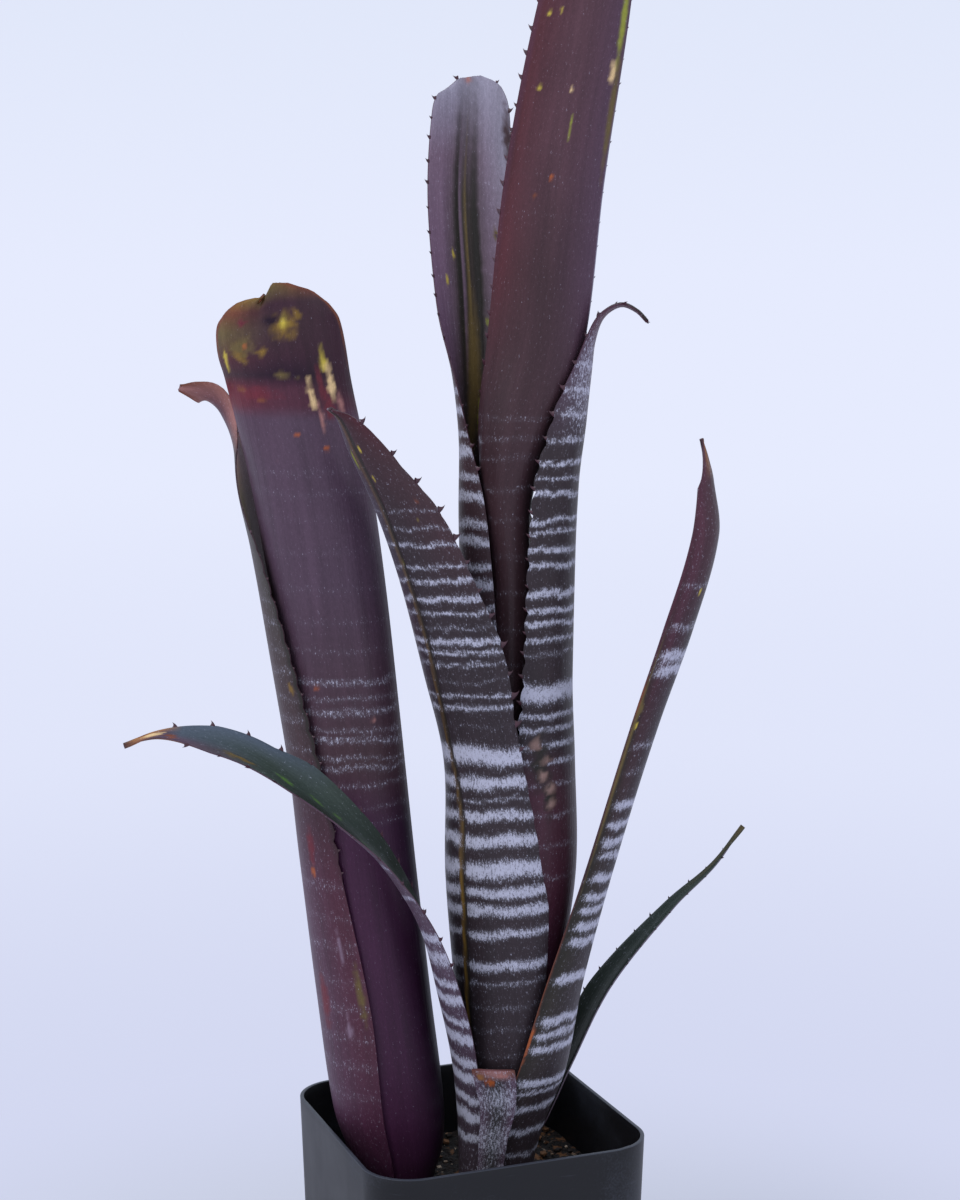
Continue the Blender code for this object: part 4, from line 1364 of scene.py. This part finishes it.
class MouldPot(Operator):
    """Mould the square pot: tapered, with round corners, a rounded lip and drain holes"""

    bl_idname = "bromeliad.mould_pot"
    bl_label = "Mould pot"

    def execute(self, context):
        options = settings().pot
        height = POT_HIGH.z - POT_LOW.z
        deselect_all()
        bpy.ops.mesh.primitive_cube_add(
            size=1, location=(0, 0, height / 2), scale=(RIM_WIDTH, RIM_WIDTH, height)
        )
        pot = new_piece("pot_moulded")
        take(pot)
        bpy.ops.object.transform_apply(location=True, rotation=False, scale=True)
        self.round_corners(pot)
        self.open_and_taper(pot)
        apply_modifier(pot, "wall", "SOLIDIFY", thickness=POT_WALL, offset=-1, use_even_offset=True)
        self.drill(pot, options)
        apply_modifier(
            pot, "lip", "BEVEL", width=options.lip, segments=3, limit_method="ANGLE",
            angle_limit=math.radians(50),
        )
        self.nick(pot)
        pot.data.materials.append(pot_plastic("pot_plastic", options.plastic))
        pot.data.materials.append(pot_plastic("pot_lip", options.lip_highlight))
        # The faces along the top of the rim take the pale lip plastic, a painted highlight.
        for face in pot.data.polygons:
            if face.center.z > POT_HIGH.z - 0.6 * MM:
                face.material_index = 1
        settle(pot, 40)
        stand_for(pot, "pot")
        return {"FINISHED"}

    def round_corners(self, pot):
        """Bevel the four upright edges, then the edge round the foot."""
        self.select_edges(pot, lambda a, b: abs(a.z - b.z) > CORNER_RADIUS)
        bpy.ops.mesh.bevel(offset=CORNER_RADIUS, segments=14, affect="EDGES")
        bpy.ops.object.mode_set(mode="OBJECT")
        self.select_edges(pot, lambda a, b: a.z < MM and b.z < MM)
        bpy.ops.mesh.bevel(offset=FOOT_ROUNDING, segments=4, affect="EDGES")
        bpy.ops.object.mode_set(mode="OBJECT")

    def open_and_taper(self, pot):
        """Take the top away, cut the walls into rows and draw the foot in."""
        take(pot)
        bpy.ops.object.mode_set(mode="EDIT")
        mesh = bmesh.from_edit_mesh(pot.data)
        for face in mesh.faces:
            face.select_set(face.calc_center_median().z > POT_HIGH.z - MM)
        bmesh.update_edit_mesh(pot.data)
        bpy.ops.mesh.delete(type="FACE")
        for share in (0.12, 0.3, 0.5, 0.7, 0.88, 0.97):
            bpy.ops.mesh.select_all(action="SELECT")
            bpy.ops.mesh.bisect(plane_co=(0, 0, POT_HIGH.z * share), plane_no=(0, 0, 1))
        bpy.ops.object.mode_set(mode="OBJECT")

        def drawn_in(point):
            share = FOOT_SHARE + (1 - FOOT_SHARE) * point.z / POT_HIGH.z
            bow = 1 - 0.004 * math.sin(math.pi * point.z / POT_HIGH.z)
            return Vector((point.x * share * bow, point.y * share * bow, point.z))

        shape_by(pot, drawn_in)

    def drill(self, pot, options):
        """Cut the four drain holes through the floor."""
        for side_x in (-1, 1):
            for side_y in (-1, 1):
                deselect_all()
                bpy.ops.mesh.primitive_cylinder_add(
                    vertices=32, radius=options.drain_radius, depth=6 * POT_WALL,
                    location=(side_x * options.drain_offset, side_y * options.drain_offset, 0),
                )
                cutter = new_piece("drain_cutter")
                apply_modifier(
                    pot, "drain", "BOOLEAN", operation="DIFFERENCE", object=cutter, solver="EXACT"
                )
                bpy.data.objects.remove(cutter, do_unlink=True)

    def nick(self, pot):
        """A small dent in the front rim, and a burr beside the right corner."""
        dent, burr = (-20 * MM, -0.35 * MM, 1.0 * MM), (34 * MM, 0.25 * MM, 0.7 * MM)
        for x, depth, half_width in (dent, burr):
            def dented(point):
                near = point.z > POT_HIGH.z - 2 * MM and point.y < -RIM_WIDTH / 2 + 4 * MM
                fall = max(0, 1 - abs(point.x - x) / half_width / 2) if near else 0
                return Vector((point.x, point.y, point.z + depth * fall))

            shape_by(pot, dented)

    def select_edges(self, pot, chosen):
        take(pot)
        bpy.ops.object.mode_set(mode="EDIT")
        bpy.ops.mesh.select_mode(type="EDGE")
        bpy.ops.mesh.select_all(action="DESELECT")
        mesh = bmesh.from_edit_mesh(pot.data)
        for edge in mesh.edges:
            edge.select_set(chosen(edge.verts[0].co, edge.verts[1].co))
        bmesh.update_edit_mesh(pot.data)


def inside_width(height):
    """The pot's inside width at a height."""
    return RIM_WIDTH * (FOOT_SHARE + (1 - FOOT_SHARE) * height / POT_HIGH.z) - 2 * POT_WALL


def corner_pull(x, y):
    """How far a point of a square is drawn in so that the square's corners are round."""
    reach = max(abs(x), abs(y))
    if reach == 0:
        return 1
    inner = 1 - 2 * (CORNER_RADIUS - POT_WALL) / inside_width(MIX_TOP)
    low, high = sorted((abs(x) / reach, abs(y) / reach))
    if low <= inner:
        return 1
    dot = high * inner + low * inner
    norm = high * high + low * low
    radius = 1 - inner
    exact = (dot + math.sqrt(max(0, dot * dot - norm * (2 * inner * inner - radius * radius)))) / norm
    return 1 + (exact - 1) * reach ** 3


class FillMix(Operator):
    """Fill the pot with mix: an uneven block of it, and crumbs of bark and grit on top"""

    bl_idname = "bromeliad.fill_mix"
    bl_label = "Fill mix"

    def execute(self, context):
        options = settings().mix
        self.make_block(options)
        self.scatter_crumbs(options)
        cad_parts["rootstock"].data.materials.clear()
        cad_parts["rootstock"].data.materials.append(rootstock_skin())
        return {"FINISHED"}

    def make_block(self, options):
        """A grid with round corners and a lumpy top, drawn down to the pot's floor and closed."""
        width = inside_width(MIX_TOP) - 2 * CLEARANCE
        deselect_all()
        bpy.ops.mesh.primitive_grid_add(x_subdivisions=120, y_subdivisions=120, size=2)
        block = new_piece("mix_block")

        def laid(point):
            pull = corner_pull(point.x, point.y)
            x, y = point.x * pull * width / 2, point.y * pull * width / 2
            edge = max(abs(point.x), abs(point.y)) ** 8
            lumps = noise.fractal(Vector((x * 260, y * 260, 0)), 1.0, 2.0, 4)
            return Vector((x, y, MIX_TOP - 0.6 * MM + options.lump_height * lumps * (1 - 0.5 * edge)))

        shape_by(block, laid)
        take(block)
        bpy.ops.object.mode_set(mode="EDIT")
        bpy.ops.mesh.select_all(action="SELECT")
        bpy.ops.mesh.region_to_loop()
        bpy.ops.mesh.extrude_edges_move(TRANSFORM_OT_translate={"value": (0, 0, 0)})
        bpy.ops.transform.resize(value=(1, 1, 0))
        bpy.ops.object.mode_set(mode="OBJECT")
        foot = MIX_LOW.z
        share = (inside_width(foot) - 2 * CLEARANCE - 3 * MM) / width
        for vertex in block.data.vertices:
            if vertex.select:
                vertex.co = Vector((vertex.co.x * share, vertex.co.y * share, foot))
        bpy.ops.object.mode_set(mode="EDIT")
        bpy.ops.mesh.edge_face_add()
        bpy.ops.mesh.select_all(action="SELECT")
        bpy.ops.mesh.normals_make_consistent(inside=False)
        bpy.ops.object.mode_set(mode="OBJECT")
        block.data.materials.append(mix_earth())
        settle(block, 60)
        stand_for(block, "potting_mix")

    def scatter_crumbs(self, options):
        """Broken bits, modelled as a few kinds and strewn between the shoots and the wall."""
        materials = [
            bark_grain("crumb_bark", options.bark, options.bark_dark),
            bark_grain("crumb_dark", options.bark_dark, options.mould),
            bark_grain("crumb_grit", options.grit, options.bark),
        ]
        kinds = [self.new_crumb(i, materials[(0, 1, 1, 2, 0)[i]]) for i in range(5)]
        rng = random.Random(4)
        reach = inside_width(MIX_TOP) / 2 - 3 * MM
        copies = []
        while len(copies) < options.crumbs:
            x, y = rng.uniform(-reach, reach), rng.uniform(-reach, reach)
            if not self.is_open(x, y):
                continue
            kind = rng.choice(kinds)
            size = options.crumb_size * rng.uniform(0.3, 1.0) * (0.6 if kind == kinds[3] else 1)
            heading = Matrix.Rotation(rng.uniform(0, math.tau), 4, "Z")
            turn = heading @ Matrix.Rotation(rng.uniform(-0.5, 0.5), 4, "X")
            copy = bpy.data.objects.new("crumb", kind.data.copy())
            height = MIX_TOP + rng.uniform(-0.5, 0.9) * MM
            copy.data.transform(Matrix.Translation((x, y, height)) @ turn @ Matrix.Scale(size, 4))
            bpy.context.scene.collection.objects.link(copy)
            copies.append(copy)
        deselect_all()
        for copy in copies:
            copy.select_set(True)
        bpy.context.view_layer.objects.active = copies[0]
        bpy.ops.object.join()
        crumbs = new_piece("mix_crumbs")
        for kind in kinds:
            bpy.data.objects.remove(kind, do_unlink=True)
        settle(crumbs, 35)
        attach(crumbs, "root")

    def is_open(self, x, y):
        """Whether the place is clear of both shoots and of the pot's corners."""
        place = Vector((x, y))
        for shoot, rings in ((MAIN, MAIN_RINGS), (PUP, PUP_RINGS)):
            axis = (PLANT_TURN @ Vector((*shoot.axis, 0))).xy
            if (place - axis).length < shoot.stem_radius + RING_STEP * rings + CRUMB_GAP:
                return False
        half = inside_width(MIX_TOP) / 2
        share = max(abs(x), abs(y)) / half
        return math.hypot(x, y) < half * 1.22 and share < 0.95

    def new_crumb(self, kind, material):
        """A cube of unit length, cut finer, roughened and flattened."""
        deselect_all()
        bpy.ops.mesh.primitive_cube_add(size=1, enter_editmode=True)
        bpy.ops.mesh.select_all(action="SELECT")
        bpy.ops.mesh.subdivide(number_cuts=1)
        bpy.ops.mesh.vertices_smooth(factor=0.4, repeat=1)
        bpy.ops.object.mode_set(mode="OBJECT")
        crumb = new_piece("crumb_master")
        flat = (0.55, 0.7, 0.35, 0.8, 0.45)[kind]

        def broken(point):
            push = noise.noise(point * 2.3 + Vector((kind * 5, 0, 0)))
            return Vector((
                point.x * (1 + 0.5 * push),
                point.y * 0.7 * (1 - 0.4 * push),
                point.z * flat * 0.6,
            ))

        shape_by(crumb, broken)
        crumb.data.materials.append(material)
        return crumb


class LayChips(Operator):
    """Lay the five loose chips of bark on the mix, each broken in its own way"""

    bl_idname = "bromeliad.lay_chips"
    bl_label = "Lay bark chips"

    def execute(self, context):
        options = settings().mix
        bark = bark_grain("chip_bark", options.bark, options.bark_dark)
        for i in range(1, 6):
            node = f"bark_chip_{i}"
            low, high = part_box(node)
            middle, size = (low + high) / 2, high - low
            deselect_all()
            bpy.ops.mesh.primitive_cube_add(size=1, location=middle, scale=size, enter_editmode=True)
            bpy.ops.mesh.select_all(action="SELECT")
            bpy.ops.mesh.subdivide(number_cuts=7)
            bpy.ops.mesh.vertices_smooth(factor=0.5, repeat=2)
            bpy.ops.object.mode_set(mode="OBJECT")
            chip = new_piece(f"{node}_split")

            def split(point):
                rough = noise.fractal(point * 3.1 + Vector((i * 7, 0, 0)), 1.0, 2.0, 4)
                ledge = 0.16 * round(point.x * 3 + rough * 2) / 3
                taper = 1 - 0.35 * abs(point.x + 0.2 * rough)
                return Vector((
                    point.x * (1 + 0.12 * rough),
                    point.y * taper * (1 + 0.15 * rough),
                    point.z * (1 + 0.3 * rough) * 0.8 - 0.1 * ledge,
                ))

            shape_by(chip, split)
            chip.data.materials.append(bark)
            settle(chip, 35)
            stand_for(chip, node)
        return {"FINISHED"}


class SetStage(Operator):
    """Set the pale floor, the sky, the soft lights and the camera"""

    bl_idname = "bromeliad.set_stage"
    bl_label = "Set stage"

    def execute(self, context):
        options = settings().stage
        self.lay_floor(options)
        self.light_sky(options)
        self.hang_lights()
        self.place_camera(context, options)
        context.scene.view_settings.view_transform = "Standard"
        return {"FINISHED"}

    def lay_floor(self, options):
        deselect_all()
        bpy.ops.mesh.primitive_circle_add(vertices=96, radius=options.floor_radius, fill_type="TRIFAN")
        floor = new_piece("floor")
        floor.location.z = -FLOOR_GAP
        graph = Graph("pale_floor")
        away = graph.node("ShaderNodeVectorMath", {"operation": "LENGTH"}, {0: graph.place()})
        reach = Wire(graph, away.outputs["Value"])
        # Beyond the matt pad the floor gives off its own light instead of being lit, painted darker near
        # the pot and paler far off.
        nearer = graph.mixed(options.near, options.middle, reach.eased(0.15, 1.1))
        colour = graph.mixed(nearer, options.far, reach.eased(0.7, 3.5))
        diffuse = graph.node("ShaderNodeBsdfDiffuse", None, {"Color": options.pad})
        glow = graph.node("ShaderNodeEmission", None, {"Color": colour})
        blend = graph.node("ShaderNodeMixShader", None, {
            0: reach.eased(0.1, 0.32),
            1: Wire(graph, diffuse.outputs[0]),
            2: Wire(graph, glow.outputs[0]),
        })
        output = graph.tree.nodes["Material Output"]
        graph.tree.links.new(blend.outputs[0], output.inputs["Surface"])
        floor.data.materials.append(graph.material)
        floor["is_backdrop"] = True

    def light_sky(self, options):
        world = bpy.data.worlds.new("pale_sky")
        world.use_nodes = True
        bpy.context.scene.world = world
        nodes, links = world.node_tree.nodes, world.node_tree.links
        where = nodes.new("ShaderNodeTexCoord")
        split = nodes.new("ShaderNodeSeparateXYZ")
        links.new(where.outputs["Generated"], split.inputs[0])
        ramp = nodes.new("ShaderNodeValToRGB")
        ramp.color_ramp.elements[0].position = 0.0
        ramp.color_ramp.elements[0].color = (*options.far, 1)
        ramp.color_ramp.elements[1].position = 0.3
        ramp.color_ramp.elements[1].color = (*options.sky, 1)
        links.new(split.outputs["Z"], ramp.inputs[0])
        links.new(ramp.outputs[0], nodes["Background"].inputs["Color"])
        nodes["Background"].inputs["Strength"].default_value = 1.0

    def hang_lights(self):
        """A large soft key from the upper left front, and a weaker fill from the right."""
        for name, place, size, power in (
            ("key_light", Vector((-0.9, -0.9, 1.3)), 0.9, 9),
            ("fill_light", Vector((1.1, -0.5, 0.7)), 1.0, 1.0),
        ):
            bpy.ops.object.light_add(type="AREA", location=PLANT_TURN @ place)
            light = bpy.context.object
            light.name = name
            light.data.size = size
            light.data.energy = power
            aim = Vector((0, 0, 0.24)) - light.location
            light.rotation_euler = aim.to_track_quat("-Z", "Y").to_euler()

    def place_camera(self, context, options):
        place = Vector((options.camera_side, -options.camera_distance, options.camera_height))
        bpy.ops.object.camera_add(location=PLANT_TURN @ place)
        camera = context.object
        camera.rotation_euler = (math.radians(90) - options.camera_tilt, 0, PLANT_TURN.to_euler().z)
        camera.data.lens = options.lens
        camera.data.clip_start = 0.01
        context.scene.camera = camera


OPERATORS = (MouldPot, FillMix, LayChips, GrowLeaves, SetStage)


class BromeliadPanel(Panel):
    """Lists the steps that build the potted bromeliad"""

    bl_idname = "VIEW3D_PT_bromeliad"
    bl_label = "Potted Bromeliad"
    bl_space_type = "VIEW_3D"
    bl_region_type = "UI"
    bl_category = "Bromeliad"

    def draw(self, context):
        for operator in OPERATORS:
            self.layout.operator(operator.bl_idname)
        for group in ("leaves", "pot", "mix", "stage", "colours"):
            box = self.layout.box()
            box.label(text=group.capitalize())
            options = getattr(context.scene.bromeliad, group)
            for name in options.__annotations__:
                box.prop(options, name)


CLASSES = (
    LeafColours, LeafSettings, PotSettings, MixSettings, StageSettings, BromeliadSettings,
    *OPERATORS, BromeliadPanel,
)


def register():
    for cls in CLASSES:
        bpy.utils.register_class(cls)
    bpy.types.Scene.bromeliad = PointerProperty(type=BromeliadSettings)


def unregister():
    del bpy.types.Scene.bromeliad
    for cls in reversed(CLASSES):
        bpy.utils.unregister_class(cls)


def main():
    register()
    for operator in OPERATORS:
        step = operator.bl_idname.split(".")[1]
        getattr(bpy.ops.bromeliad, step)()
    boxes = {"cad": CAD_BOX, "visual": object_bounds()}
    sizes = {name: [list(corner) for corner in box] for name, box in boxes.items()}


if __name__ == "__main__":
    main()
